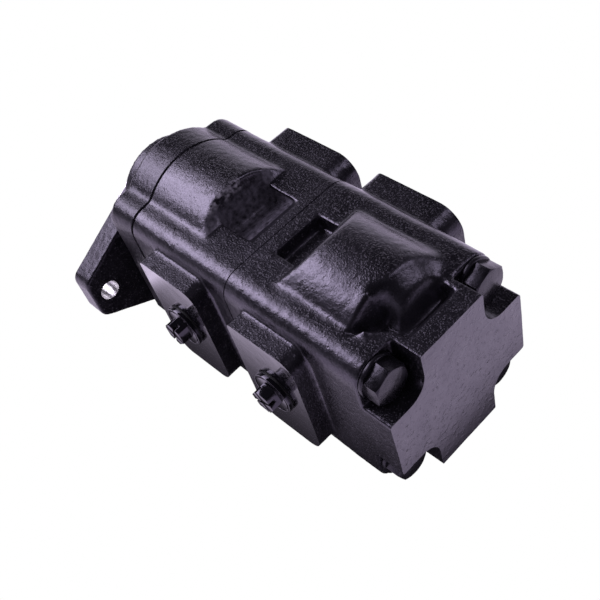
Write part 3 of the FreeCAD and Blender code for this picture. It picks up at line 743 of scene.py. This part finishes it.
def cast_paint(paint):
    """Black gloss paint over a sand casting: raised grains, dull specks, pits, worn paint lightened into a
    painted highlight along the front dome's rear crest, a painted fill light in the front pocket and dark
    joints.
    """
    f = Finish("cast_paint")
    f.set(IOR=1.52, Specular_Tint=(*paint.gloss, 1.0))
    sand = f.noise(0.0012, detail=1.5, roughness=0.5)
    specks = f.noise(0.0010, detail=2.0, roughness=0.6)
    peel = f.noise(0.0032, detail=1.0, roughness=0.5)
    broad = f.noise(0.021, detail=3.0, roughness=0.55)
    grains = f.band(sand, 0.50, 0.72)
    pits = f.band(f.cells(0.0052), 0.0, 0.16, 0.0, 1.0)
    coarse = f.attribute("coarse")
    satin = f.attribute("satin")
    tone = f.blend(f.band(broad, 0.35, 0.68), paint.paint_dark, paint.paint_light)
    speckle = f.clamped("MULTIPLY", f.band(sand, 0.63, 0.75), f.band(coarse, 0.0, 1.0, 0.03, 0.34))
    tone = f.blend(speckle, tone, paint.worn_paint_and_highlight)
    # Worn paint on the front dome's rear crest, lightened further as a painted highlight along it.
    scuffs_and_highlight = f.clamped("MULTIPLY", f.attribute("scuff_and_highlight"), f.band(peel, 0.40, 0.66))
    # Painted fill light: patches of the front pocket take the lighter pocket tone.
    tone = f.blend(f.clamped("MULTIPLY", f.attribute("pocket_fill_light"), f.band(peel, 0.2, 0.7)), tone, paint.pocket_fill_light)
    f.colour(f.blend(scuffs_and_highlight, tone, paint.worn_paint_and_highlight))
    seam = f.clamped("ADD", f.beside(FIRST_JOINT, paint.front_seam), f.beside(SECOND_JOINT, paint.rear_seam))
    shine = f.clamped("MULTIPLY", f.band(specks, 0.34, 0.60, 0.46, 0.68), f.band(satin, 0.0, 1.0, 1.0, 0.66))
    shine = f.clamped("MULTIPLY", shine, f.band(coarse, 0.0, 1.0, 1.0, 0.62))
    f.gloss(f.clamped("MULTIPLY", shine, f.band(seam, 0.0, 1.0, 1.0, 0.0)))
    dull = f.clamped("ADD", f.clamped("MULTIPLY", scuffs_and_highlight, 0.2), f.clamped("MULTIPLY", coarse, 0.03))
    f.roughness(f.clamped("ADD", f.band(broad, 0.3, 0.7, 0.25, 0.32), dull))
    f.bump(f.clamped("MULTIPLY", grains, f.band(coarse, 0.0, 1.0, 0.4, 1.7)), 0.0001)
    f.bump(peel, 0.00007)
    f.bump(pits, 0.0001)


def machined_paint(paint):
    """The same paint over milled faces: nearly mirror smooth, with faint waves and few pits."""
    f = Finish("machined_paint")
    f.set(IOR=1.52, Specular_IOR_Level=0.6, Specular_Tint=(*paint.gloss, 1.0), Coat_Weight=0.8)
    wave = f.noise(0.009, detail=2.0, roughness=0.5)
    fine = f.noise(0.0013, detail=3.0, roughness=0.55)
    pits = f.band(f.cells(0.0075), 0.0, 0.055)
    f.colour(f.blend(f.band(wave, 0.35, 0.7), paint.paint_light, paint.paint_dark))
    f.roughness(f.band(fine, 0.35, 0.7, 0.13, 0.2))
    f.bump(wave, 0.0002)
    f.bump(fine, 0.000005)
    f.bump(pits, 0.00006)


def rear_paint(paint):
    """Satin paint on the rough-milled rear face, with small lumps and pits."""
    f = Finish("rear_paint")
    f.set(IOR=1.52, Specular_IOR_Level=0.62, Specular_Tint=(*paint.gloss, 1.0))
    wave = f.noise(0.013, detail=2.0, roughness=0.5)
    fine = f.noise(0.0012, detail=2.0, roughness=0.5)
    lumps = f.band(f.noise(0.0034, detail=2.0, roughness=0.5), 0.52, 0.74)
    pits = f.band(f.cells(0.0048), 0.0, 0.12)
    tone = f.blend(f.band(wave, 0.3, 0.7), paint.paint_dark, paint.paint_light)
    f.colour(f.blend(f.band(fine, 0.60, 0.8, 0.0, 0.15), tone, paint.worn_paint_and_highlight))
    f.roughness(f.band(wave, 0.3, 0.7, 0.26, 0.34))
    f.bump(fine, 0.00007)
    f.bump(lumps, 0.00016)
    f.bump(pits, 0.00016)
    f.bump(wave, 0.0003)


def fastener_paint(paint):
    """Paint on the bolts and washers, worn a little on the metal below."""
    f = Finish("fastener_paint")
    f.set(IOR=1.52, Specular_IOR_Level=0.25, Specular_Tint=(*paint.gloss, 1.0))
    wave = f.noise(0.006, detail=3.0, roughness=0.5)
    fine = f.noise(0.0012, detail=4.0, roughness=0.6)
    tone = f.blend(f.band(wave, 0.35, 0.7), paint.paint_dark, paint.paint_light)
    f.colour(f.blend(f.band(fine, 0.66, 0.8, 0.0, 0.2), tone, paint.worn_paint_and_highlight))
    f.roughness(f.band(wave, 0.3, 0.7, 0.2, 0.33))
    f.bump(wave, 0.0003)
    f.bump(fine, 0.00006)


def plug_plastic(paint):
    """Moulded black plastic with faint flow marks."""
    f = Finish("plug_plastic")
    f.set(IOR=1.5, Specular_Tint=(*paint.gloss, 1.0))
    flow = f.noise(0.005, detail=2.0, roughness=0.5)
    fine = f.noise(0.0007, detail=3.0, roughness=0.6)
    f.colour(f.blend(f.band(flow, 0.3, 0.7), paint.plastic, paint.paint_dark))
    f.roughness(f.band(flow, 0.3, 0.7, 0.08, 0.14))
    f.bump(flow, 0.00008)
    f.bump(fine, 0.000012)


def stained(name, tone, stain_tone, stain, stain_range, roughness, marks, marks_depth, **shader):
    """Finish in one tone with stains of another, and with fine tool marks or grain."""
    f = Finish(name)
    f.set(**shader)
    start, end, strength = stain_range
    spread = f.noise(stain, detail=4.0, roughness=0.6)
    f.colour(f.blend(f.band(spread, start, end, 0.0, strength), tone, stain_tone))
    f.roughness(f.band(spread, 0.3, 0.7, *roughness))
    width, *stretch = marks
    if stretch:
        f.bump(f.noise(width, detail=3.0, roughness=0.7, place=f.stretched(*stretch)), marks_depth)
    else:
        f.bump(f.noise(width, detail=3.0, roughness=0.6), marks_depth)


def scaled(tone, share):
    return tuple(share * c for c in tone)


def bare_iron(paint):
    """Machined grey iron with turning marks and a trace of oil."""
    f = Finish("bare_iron")
    f.set(Metallic=1.0)
    marks = f.noise(0.0005, detail=3.0, roughness=0.7, place=f.stretched(3.0, 0.12))
    grain = f.noise(0.0009, detail=4.0, roughness=0.65)
    oil = f.noise(0.012, detail=3.0, roughness=0.5)
    tone = f.blend(f.band(grain, 0.35, 0.7), paint.iron, paint.steel)
    f.colour(f.blend(f.band(oil, 0.55, 0.75, 0.0, 0.45), tone, scaled(paint.iron, 0.45)))
    f.roughness(f.band(oil, 0.35, 0.7, 0.38, 0.2))
    f.bump(marks, 0.00003)
    f.bump(grain, 0.00003)


def inner_finishes(paint):
    """Steel of shafts and gears, bronze of bushes and plates, iron of blocks, rubber, backup rings."""
    stained("ground_steel", paint.steel, paint.iron, stain=0.009, stain_range=(0.45, 0.8, 0.5),
            roughness=(0.2, 0.32), marks=(0.0004, 4.0, 0.1), marks_depth=0.000012,
            Metallic=1.0, Anisotropic=0.3)
    stained("bronze", paint.bronze, scaled(paint.bronze, 0.5), stain=0.007, stain_range=(0.4, 0.8, 0.6),
            roughness=(0.24, 0.4), marks=(0.0005, 4.0, 0.1), marks_depth=0.00002, Metallic=1.0)
    stained("block_iron", paint.iron, scaled(paint.iron, 0.6), stain=0.0011, stain_range=(0.35, 0.7, 1.0),
            roughness=(0.3, 0.45), marks=(0.0006, 3.0, 0.15), marks_depth=0.00003, Metallic=1.0)
    stained("rubber", paint.rubber, scaled(paint.rubber, 3.0), stain=0.006, stain_range=(0.5, 0.8, 0.3),
            roughness=(0.55, 0.72), marks=(0.0006,), marks_depth=0.00004, IOR=1.5)
    stained("backup_plastic", paint.backup, scaled(paint.backup, 0.7),
            stain=0.008, stain_range=(0.5, 0.8, 0.4), roughness=(0.4, 0.52),
            marks=(0.0006,), marks_depth=0.00003, IOR=1.38)


SLOT_FINISHES = {
    "painted_casting": "cast_paint",
    "blackened_fastener": "fastener_paint",
    "black_plastic": "plug_plastic",
    "rubber": "rubber",
    "white_plastic": "backup_plastic",
    "block_iron": "block_iron",
    "bronze": "bronze",
    "ground_steel": "ground_steel",
}


# Geometry node trees

class Tree(Nodes):
    """A geometry node tree."""

    def __init__(self, name):
        self.group = bpy.data.node_groups.new(name, "GeometryNodeTree")
        super().__init__(self.group)
        self.group.interface.new_socket("Geometry", in_out="OUTPUT", socket_type="NodeSocketGeometry")
        self.entry = self.nodes.new("NodeGroupInput")
        self.exit = self.nodes.new("NodeGroupOutput")

    def input(self, name, kind):
        self.group.interface.new_socket(name, in_out="INPUT", socket_type="NodeSocket" + kind)
        return self.entry.outputs[name]

    def part(self, kind, inputs, **settings):
        return self.add("GeometryNode" + kind, inputs, **settings).outputs[0]

    def vector(self, **parts):
        return self.add("ShaderNodeCombineXYZ", parts).outputs[0]

    def close(self, geometry, material):
        """Ends the tree in plain geometry with its material."""
        real = self.part("RealizeInstances", {"Geometry": geometry})
        self.put(self.exit.inputs[0], self.part("SetMaterial", {"Geometry": real, "Material": material}))
        return self.group


SPRING_SIDES = 6
QUARTER_TURN = (0.0, math.pi / 2, 0.0)


def corner_tree():
    """Sets a fastener at each of the four corners of a square, each turned at random."""
    tree = Tree("corner_fasteners")
    fastener = tree.input("Fastener", "Geometry")
    pitch = tree.input("Pitch", "Float")
    middle = tree.input("Middle height", "Float")
    turn = tree.input("Largest turn", "Float")
    seed = tree.input("Seed", "Int")
    material = tree.input("Material", "Material")
    grid = tree.part("MeshGrid", {"Size X": pitch, "Size Y": pitch, "Vertices X": 2, "Vertices Y": 2})
    upright = tree.part("Transform", {
        "Geometry": grid, "Translation": tree.vector(Z=middle), "Rotation": QUARTER_TURN})
    chance = tree.add("FunctionNodeRandomValue", {"Seed": seed}, data_type="FLOAT")
    share = next(s for s in chance.outputs if s.type == "VALUE" and s.enabled)
    spin = tree.vector(X=tree.maths("MULTIPLY", share, turn))
    placed = tree.part("InstanceOnPoints", {"Points": upright, "Instance": fastener, "Rotation": spin})
    return tree.close(placed, material)


def coil_tree():
    """Winds a wire round a ring."""
    tree = Tree("ring_coil")
    ring_radius = tree.input("Ring radius", "Float")
    coil_radius = tree.input("Coil radius", "Float")
    wire_radius = tree.input("Wire radius", "Float")
    turns = tree.input("Turns", "Int")
    steps = tree.input("Steps per turn", "Int")
    place = tree.input("Place", "Vector")
    material = tree.input("Material", "Material")
    count = tree.maths("MULTIPLY", turns, steps)
    ring = tree.part("CurvePrimitiveCircle", {"Resolution": count, "Radius": 1.0}, mode="RADIUS")
    turn = tree.maths("DIVIDE", tree.part("InputIndex", {}), steps)
    phase = tree.maths("MULTIPLY", turn, 2 * math.pi)
    out = tree.maths("MULTIPLY", tree.maths("COSINE", phase), coil_radius)
    along = tree.maths("MULTIPLY", tree.maths("SINE", phase), coil_radius)
    wide = tree.add("ShaderNodeVectorMath", {
        0: tree.part("InputPosition", {}), "Scale": tree.maths("ADD", out, ring_radius)}, operation="SCALE")
    spot = tree.vectors("ADD", wide.outputs[0], tree.vector(Z=along))
    wound = tree.part("SetPosition", {"Geometry": ring, "Position": spot})
    section = tree.part("CurvePrimitiveCircle", {"Resolution": SPRING_SIDES, "Radius": wire_radius},
                        mode="RADIUS")
    wire = tree.part("CurveToMesh", {"Curve": wound, "Profile Curve": section})
    turned = tree.part("Transform", {"Geometry": wire, "Translation": place, "Rotation": QUARTER_TURN})
    return tree.close(turned, material)


def run_tree(made, group, values):
    """Runs a tree on an object with named inputs, and keeps its result as the object's mesh."""
    modifier = made.modifiers.new(group.name, "NODES")
    modifier.node_group = group
    sockets = {s.name: s.identifier for s in group.interface.items_tree if s.in_out == "INPUT"}
    for name, value in values.items():
        modifier[sockets[name]] = value
    return settle(made)


# Fittings

def softened_copy(node, name, width, fittings, keep=None, shift=(0, 0, 0)):
    """Copy of a CAD node, or of one of its solids, with rounded edges."""
    shape = merged_copy(node)
    if keep:
        delete_faces(shape, lambda f: not keep(f.calc_center_median()))
    bmesh.ops.dissolve_limit(shape, angle_limit=FLAT, verts=shape.verts, edges=shape.edges)
    sharp = [e for e in shape.edges if e.is_manifold and e.calc_face_angle() > BEVELLED]
    bmesh.ops.bevel(shape, geom=sharp, offset=width, offset_type="OFFSET", segments=fittings.edge_segments,
                    profile=ROUND_PROFILE, affect="EDGES", clamp_overlap=True)
    bmesh.ops.translate(shape, verts=shape.verts, vec=Vector(shift))
    split_large_faces(shape)
    made = object_of(shape, name)
    smooth_edges(made.data, FITTING_SHARP)
    return made


BOLT_SEED = 154


def corner_fasteners(node, name, fittings, turn):
    """The four like fasteners of a node, from its lower near one."""
    def lower_near(point):
        return point.y < 0 and point.z < BODY_MIDDLE

    shape = merged_copy(node)
    corner = [v.co for v in shape.verts if v.co.y < 0 and v.co.z < BODY_MIDDLE]
    middle_y = (min(c.y for c in corner) + max(c.y for c in corner)) / 2
    middle_z = (min(c.z for c in corner) + max(c.z for c in corner)) / 2
    shape.free()
    made = softened_copy(node, name, fittings.bolt_edge, fittings, lower_near, (0, -middle_y, -middle_z))
    run_tree(made, corner_tree(), {
        "Pitch": -2 * middle_y,
        "Middle height": middle_z - middle_y,
        "Largest turn": turn,
        "Seed": BOLT_SEED,
        "Material": finishes["fastener_paint"],
    })
    stand_in(made, node)


# Operators

class PUMP_OT_finishes(bpy.types.Operator):
    """Makes the paint, metal, plastic and rubber finishes"""
    bl_idname = "pump.finishes"
    bl_label = "Finishes"

    def execute(self, context):
        paint = context.scene.pump_paint
        for make in (cast_paint, machined_paint, rear_paint, fastener_paint, plug_plastic, bare_iron,
                     inner_finishes):
            make(paint)
        return {"FINISHED"}


# Boxes about the domes' ends: ahead, behind, near side, far side and below the dome's top
CREST_SPAN = (0.001, 0.003, 0.03, 0.035, 0.02)
SADDLE_SPAN = (0.004, 0.016, 0.010, 0.04, 0.02)
RISE_SPAN = (0.003, 0.003, 0.05, 0.05, 0.014)


def box_about(place, span, top, passes):
    """Two corners of a box about a place along the shaft, and the smoothing passes inside it."""
    ahead, behind, near, far, below = span
    return np.array((place - ahead, -near, top - below)), np.array((place + behind, far, top)), passes


class PUMP_OT_front_cover(bpy.types.Operator):
    """Casts and machines the front cover with its flange, pilot and nose"""
    bl_idname = "pump.front_cover"
    bl_label = "Front cover"

    def execute(self, context):
        settings = context.scene.pump_castings
        planes = [(X, PILOT_FACE, -1), (X, FIRST_JOINT, 1)]
        mounting = (X, 0.0, -1)

        def solid_front(skin, stock):
            """Fills the ear holes and squares off the flange's front, ready to be machined."""
            delete_faces(skin, lambda f: all(v.co.x < ON_PLANE for v in f.verts))
            delete_faces(skin, lambda f: all(
                math.hypot(abs(v.co.y) - EAR_HOLE_OFFSET, v.co.z) < EAR_HOLE_RADIUS + ON_PLANE
                for v in f.verts))
            draw_out(skin, mounting, stock - PILOT_FACE)

        def front_tools(stock):
            yield ring_tool(PILOT_FACE - 2 * stock, 0.0, PILOT_RADIUS, 2 * EAR_HOLE_OFFSET)
            for side in (-1, 1):
                yield drum_tool(-stock, FLANGE_CLEAR, EAR_HOLE_RADIUS, side * EAR_HOLE_OFFSET)

        made = make_casting("front_cover", planes, [], settings, 0.0, 1, solid_front, front_tools)
        bare_front(made)
        mark_paint(made, settings)
        return {"FINISHED"}


class PUMP_OT_front_housing(bpy.types.Operator):
    """Casts and machines the housing of the front gear section"""
    bl_idname = "pump.front_housing"
    bl_label = "Front housing"

    def execute(self, context):
        settings = context.scene.pump_castings
        pads = [(Y, low("front_housing").y, -1), (Y, high("front_housing").y, 1)]
        joints = [(X, FIRST_JOINT, -1), (X, SECOND_JOINT, 1)]
        top = high("front_housing").z
        melted = [box_about(settings.crest_start, CREST_SPAN, top, settings.crest_passes)]
        made = make_casting("front_housing", pads + joints, [], settings, settings.joint_step, 2,
                            painted=pads, melted=melted)
        mark_paint(made, settings)
        return {"FINISHED"}


class PUMP_OT_rear_housing(bpy.types.Operator):
    """Casts and machines the housing of the rear gear section"""
    bl_idname = "pump.rear_housing"
    bl_label = "Rear housing"

    def execute(self, context):
        settings = context.scene.pump_castings
        pads = [(Y, low("rear_housing").y, -1), (Y, high("rear_housing").y, 1)]
        rear = (X, REAR_FACE, 1)
        planes = pads + [(X, SECOND_JOINT, -1), rear]
        floors = [(X, POCKET_FLOOR, 1)]
        top = high("rear_housing").z
        melted = [
            box_about(SECOND_JOINT + settings.rear_crest, SADDLE_SPAN, top, settings.melt_passes),
            box_about(SECOND_JOINT + settings.rear_rise, RISE_SPAN, top, settings.rise_passes),
        ]
        made = make_casting("rear_housing", planes, floors, settings, 0.0, 3, painted=pads + [rear],
                            reshape=shape_rear_dome, melted=melted)
        made.data.materials.append(finishes["rear_paint"])
        finish_planes(made, [rear], len(made.data.materials) - 1)
        mark_paint(made, settings)
        return {"FINISHED"}


def bare_front(made):
    """Leaves the walls of the ear holes, the mounting face and the pilot as bare metal."""
    def chosen(centres):
        off_axis = np.hypot(np.abs(centres[:, 1]) - EAR_HOLE_OFFSET, centres[:, 2])
        return (centres[:, 0] < ON_PLANE) | (off_axis < EAR_HOLE_RADIUS + ON_PLANE)

    set_finish(made, chosen, BARE)


# Where the marks of the paint lie. Heights are above the drive shaft.
FLAT_START, FLAT_FADE = 0.93, 0.06
# The crest marks are worn paint that also carries a painted highlight along the front dome's rear crest.
SCUFF_HIGHLIGHT_WIDTH, SCUFF_HIGHLIGHT_HEIGHT, SCUFF_HIGHLIGHT_FADE, SCUFF_HIGHLIGHT_SIDE = 0.0035, 0.082, 0.004, 0.005
# Reach of the painted fill light in the front pocket.
FILL_LIGHT_FADE, FILL_LIGHT_SIDE, FILL_LIGHT_END = 0.002, 0.034, 0.012
DOME_END, LAND_HEIGHT, LAND_FADE = 0.006, 0.0742, 0.001


def put_mark(mesh, name, values):
    mark = mesh.attributes.new(name, "FLOAT", "POINT")
    mark.data.foreach_set("value", values.astype(np.float32))


def clipped(values):
    return np.clip(values, 0, 1)


def mark_paint(made, settings):
    """Marks where the cast grain is coarse, the gloss satin, the front dome's crest worn and lightened as a
    painted highlight, and the front pocket lightened by a painted fill light.
    """
    mesh = made.data
    x, y, z = points_of(mesh).T
    behind = x - settings.crest_start
    scuffed_and_highlit = clipped(1 - np.abs(behind) / SCUFF_HIGHLIGHT_WIDTH) * clipped((z - SCUFF_HIGHLIGHT_HEIGHT) / SCUFF_HIGHLIGHT_FADE)
    sunk = np.maximum(clipped((LAND_HEIGHT - z) / LAND_FADE), behind < DOME_END)
    in_pocket = (np.abs(y) < FILL_LIGHT_SIDE) & (x < SECOND_JOINT - FILL_LIGHT_END) & (z > BODY_MIDDLE)
    put_mark(mesh, "coarse", clipped((np.abs(normals_of(mesh)).max(1) - FLAT_START) / FLAT_FADE))
    put_mark(mesh, "scuff_and_highlight", scuffed_and_highlit * (y < SCUFF_HIGHLIGHT_SIDE))
    put_mark(mesh, "satin", x < FIRST_JOINT)
    put_mark(mesh, "pocket_fill_light", clipped(behind / FILL_LIGHT_FADE) * in_pocket * sunk)


class PUMP_OT_tie_bolts(bpy.types.Operator):
    """Sets the four long bolts and their washers"""
    bl_idname = "pump.tie_bolts"
    bl_label = "Tie bolts and washers"

    def execute(self, context):
        fittings = context.scene.pump_fittings
        corner_fasteners("tie_bolts", "long_bolts", fittings, fittings.bolt_turn)
        corner_fasteners("tie_bolt_washers", "bolt_washers", fittings, 0.0)
        return {"FINISHED"}


def mould(node, width, turn, fittings):
    """Softened copy of a plug or gasket, with its width as a share of the solid's and turned in its port."""
    made = softened_copy(node, node + "_moulded", fittings.plug_edge, fittings)
    centre = Matrix.Translation((low(node) + high(node)) / 2)
    fit = Matrix.Rotation(turn, 4, "Y") @ Matrix.Diagonal((width, 1.0, width, 1.0))
    made.data.transform(centre @ fit @ centre.inverted())
    made.data.materials.append(finishes[SLOT_FINISHES[slot_of(node)]])
    stand_in(made, node)


class PUMP_OT_port_plugs(bpy.types.Operator):
    """Moulds the plugs and gaskets of the four ports"""
    bl_idname = "pump.port_plugs"
    bl_label = "Port plugs"

    def execute(self, context):
        fittings = context.scene.pump_fittings
        for piece in ("_plug_", "_gasket_"):
            for section, turn in (("front", 0.0), ("rear", fittings.rear_plug_turn)):
                mould("pressure" + piece + section, fittings.plug_size, turn, fittings)
                mould("inlet" + piece + section, 1.0, turn, fittings)
        return {"FINISHED"}


class PUMP_OT_seal_spring(bpy.types.Operator):
    """Winds the garter spring of the shaft seal"""
    bl_idname = "pump.seal_spring"
    bl_label = "Seal spring"

    def execute(self, context):
        fittings = context.scene.pump_fittings
        near, far = low("garter_spring"), high("garter_spring")
        coil = (far.x - near.x) / 2
        made = object_of(bmesh.new(), "garter_coil")
        run_tree(made, coil_tree(), {
            "Ring radius": far.z - coil,
            "Coil radius": coil - fittings.spring_wire,
            "Wire radius": fittings.spring_wire,
            "Turns": fittings.spring_turns,
            "Steps per turn": fittings.spring_steps,
            "Place": ((near.x + far.x) / 2, 0.0, 0.0),
            "Material": finishes["ground_steel"],
        })
        for polygon in made.data.polygons:
            polygon.use_smooth = True
        stand_in(made, "garter_spring")
        return {"FINISHED"}


class PUMP_OT_inner_pieces(bpy.types.Operator):
    """Gives the shafts, gears, bushes, plates, seals and dowels their finishes"""
    bl_idname = "pump.inner_pieces"
    bl_label = "Inner pieces"

    def execute(self, context):
        for node, shown in frame["nodes"].items():
            shown.data.materials.clear()
            shown.data.materials.append(finishes[SLOT_FINISHES[slot_of(node)]])
        return {"FINISHED"}


WHITE = (1.0, 1.0, 1.0)
PUMP_MIDDLE = Vector((0.13, 0.0, BODY_MIDDLE))

# Softboxes: the direction to them from the pump, their distance and their sides
SIDE_BOX = ((-0.678, -0.240, 0.695), 1.2, (0.87, 0.6))
FAR_BOX = ((0.34, 0.62, 0.70), 1.3, (0.36, 0.62))

# The room in reflections: bright at the level, dim from here upwards, and lower to the side and the rear
BRIGHT_RISE, DIM_RISE, DIM_GLOW = 0.1, 0.42, 0.03
SIDE_BEARING, SIDE_DIMMING = (-0.6, -0.8, 0.0), 0.16
REAR_BEARING, REAR_DIMMING = (1.0, 0.0, 0.0), 0.3

FLOOR_REACH = 4.0
PAPER_TONE, PAPER_ROUGHNESS = (0.9, 0.9, 0.9, 1.0), 0.9
# Steepness of the painted shadow on the floor, and the floor's glow at the pump's edge.
SHADOW_POWER, SHADOW_GLOW = 3.0, 0.035
NEAR_CLIP = 0.01


class PUMP_OT_studio(bpy.types.Operator):
    """Sets the pale floor, the softboxes, the room light and the camera"""
    bl_idname = "pump.studio"
    bl_label = "Studio"

    def execute(self, context):
        studio = context.scene.pump_studio
        floor(studio)
        softbox("side_softbox", studio.side_light, studio.light_tint, *SIDE_BOX)
        softbox("far_softbox", studio.far_light, studio.light_tint, *FAR_BOX)
        room(studio)
        camera(studio)
        context.scene.view_settings.view_transform = "Standard"
        return {"FINISHED"}


class Lighting(Nodes):
    """Nodes that tell what each kind of ray sees of the floor and the room."""

    def __init__(self, tree):
        super().__init__(tree)
        self.path = self.nodes.new("ShaderNodeLightPath").outputs

    def glow(self, kind, colour, strength=1.0):
        return self.add("ShaderNode" + kind, {"Color": (*colour, 1.0), "Strength": strength}).outputs[0]

    def mixed(self, share, first, second):
        return self.add("ShaderNodeMixShader", {0: share, 1: first, 2: second}).outputs[0]


def floor(studio):
    """Pale paper, which the camera sees white. Reflections see it as a glowing sheet with a painted shadow
    that darkens close to the pump, where the pump would keep the light off.
    """
    corner = Vector((0.0, low("front_housing").y, 0.0))
    far_corner = Vector((REAR_FACE, high("front_housing").y, 0.0))
    centre, half = (corner + far_corner) / 2, (far_corner - corner) / 2
    shape = bmesh.new()
    bmesh.ops.create_grid(shape, x_segments=1, y_segments=1, size=FLOOR_REACH,
                          matrix=Matrix.Translation((centre.x, centre.y, FLANGE_BOTTOM)))
    made = object_of(shape, "floor")
    material = bpy.data.materials.new("floor_paper")
    material.use_nodes = True
    tree = Lighting(material.node_tree)
    paper = tree.nodes["Principled BSDF"]
    paper.inputs["Base Color"].default_value = PAPER_TONE
    paper.inputs["Roughness"].default_value = PAPER_ROUGHNESS
    paper.inputs["Specular IOR Level"].default_value = 0.0
    place = tree.nodes.new("ShaderNodeTexCoord").outputs["Object"]
    offset = tree.vectors("ABSOLUTE", tree.vectors("SUBTRACT", place, tuple(centre)))
    offset = tree.vectors("SUBTRACT", offset, (half.x, half.y, 1.0))
    offset = tree.vectors("MAXIMUM", offset, (0.0, 0.0, 0.0))
    offset = tree.vectors("MULTIPLY", offset, (studio.shadow_shape, 1.0, 1.0))
    reach = tree.maths("DIVIDE", tree.vectors("LENGTH", offset), studio.shadow_width)
    reach = tree.maths("MINIMUM", tree.maths("POWER", reach, SHADOW_POWER), 1.0)
    lit = tree.maths("MULTIPLY_ADD", reach, studio.floor_glow, SHADOW_GLOW)
    mirrored = tree.glow("Emission", studio.floor_tint, lit)
    seen = tree.glow("Emission", WHITE)
    shade = tree.mixed(tree.path["Is Glossy Ray"], paper.outputs[0], mirrored)
    shade = tree.mixed(tree.path["Is Camera Ray"], shade, seen)
    tree.put(tree.nodes["Material Output"].inputs["Surface"], shade)
    made.data.materials.append(material)


def softbox(name, power, tint, direction, distance, size):
    light = bpy.data.lights.new(name, "AREA")
    light.shape = "RECTANGLE"
    light.size, light.size_y = size
    light.energy = power
    light.color = tint
    made = bpy.data.objects.new(name, light)
    bpy.context.scene.collection.objects.link(made)
    away = Vector(direction).normalized()
    made.location = PUMP_MIDDLE + away * distance
    made.rotation_euler = (-away).to_track_quat("-Z", "Y").to_euler()


def room(studio):
    """Even light from all sides. The camera sees it white, and reflections see it fall off upwards."""
    world = bpy.data.worlds.new("room")
    bpy.context.scene.world = world
    world.use_nodes = True
    tree = Lighting(world.node_tree)
    facing = tree.nodes.new("ShaderNodeTexCoord").outputs["Generated"]
    rise = tree.add("ShaderNodeSeparateXYZ", {0: facing}).outputs["Z"]
    for bearing, dimming in ((SIDE_BEARING, SIDE_DIMMING), (REAR_BEARING, REAR_DIMMING)):
        share = tree.maths("MAXIMUM", tree.vectors("DOT_PRODUCT", facing, bearing), 0.0)
        rise = tree.maths("MULTIPLY_ADD", share, dimming, rise)
    fall = tree.band(rise, BRIGHT_RISE, DIM_RISE, 1.0, DIM_GLOW)
    lit = tree.glow("Background", studio.light_tint, studio.room_light)
    mirrored = tree.glow("Background", studio.light_tint, fall)
    seen = tree.glow("Background", WHITE)
    clear = tree.maths("MAXIMUM", tree.path["Is Camera Ray"], tree.path["Is Transmission Ray"])
    shade = tree.mixed(clear, tree.mixed(tree.path["Is Glossy Ray"], lit, mirrored), seen)
    tree.put(tree.nodes["World Output"].inputs["Surface"], shade)


def camera(studio):
    turn, rise, roll = studio.camera_azimuth, studio.camera_elevation, studio.camera_roll
    back = Vector((math.sin(turn) * math.cos(rise), -math.cos(turn) * math.cos(rise), math.sin(rise)))
    right = (-back).cross(Vector((0, 0, 1))).normalized()
    up = back.cross(right)
    across = math.cos(roll) * right + math.sin(roll) * up
    upward = -math.sin(roll) * right + math.cos(roll) * up
    lens = bpy.data.cameras.new("camera")
    lens.lens = studio.lens
    lens.clip_start = NEAR_CLIP
    made = bpy.data.objects.new("camera", lens)
    bpy.context.scene.collection.objects.link(made)
    pose = Matrix((across, upward, back)).transposed().to_4x4()
    pose.translation = Vector(studio.camera_place)
    made.matrix_world = pose
    bpy.context.scene.camera = made


class PUMP_PT_panel(bpy.types.Panel):
    """Lists the sizes, colours and steps of the pump"""
    bl_idname = "PUMP_PT_panel"
    bl_label = "Tandem gear pump"
    bl_space_type = "VIEW_3D"
    bl_region_type = "UI"
    bl_category = "Pump"

    def draw(self, context):
        layout = self.layout
        for name in SETTINGS:
            group = getattr(context.scene, name)
            box = layout.box()
            for key in group.bl_rna.properties.keys():
                if key not in ("rna_type", "name"):
                    box.prop(group, key)
        for step in STEPS:
            layout.operator(step.bl_idname)


SETTINGS = {
    "pump_castings": CastingSettings,
    "pump_paint": PaintSettings,
    "pump_fittings": FittingSettings,
    "pump_studio": StudioSettings,
}
STEPS = (
    PUMP_OT_finishes,
    PUMP_OT_inner_pieces,
    PUMP_OT_front_cover,
    PUMP_OT_front_housing,
    PUMP_OT_rear_housing,
    PUMP_OT_tie_bolts,
    PUMP_OT_port_plugs,
    PUMP_OT_seal_spring,
    PUMP_OT_studio,
)


def register():
    for kind in (*SETTINGS.values(), *STEPS, PUMP_PT_panel):
        bpy.utils.register_class(kind)
    for name, kind in SETTINGS.items():
        setattr(bpy.types.Scene, name, bpy.props.PointerProperty(type=kind))


def unregister():
    for name in SETTINGS:
        delattr(bpy.types.Scene, name)
    for kind in (PUMP_PT_panel, *reversed(STEPS), *reversed(tuple(SETTINGS.values()))):
        bpy.utils.unregister_class(kind)


def main():
    register()
    for step in STEPS:
        group, name = step.bl_idname.split(".")
        getattr(getattr(bpy.ops, group), name)()
    bpy.context.view_layer.update()


if __name__ == "__main__":
    main()
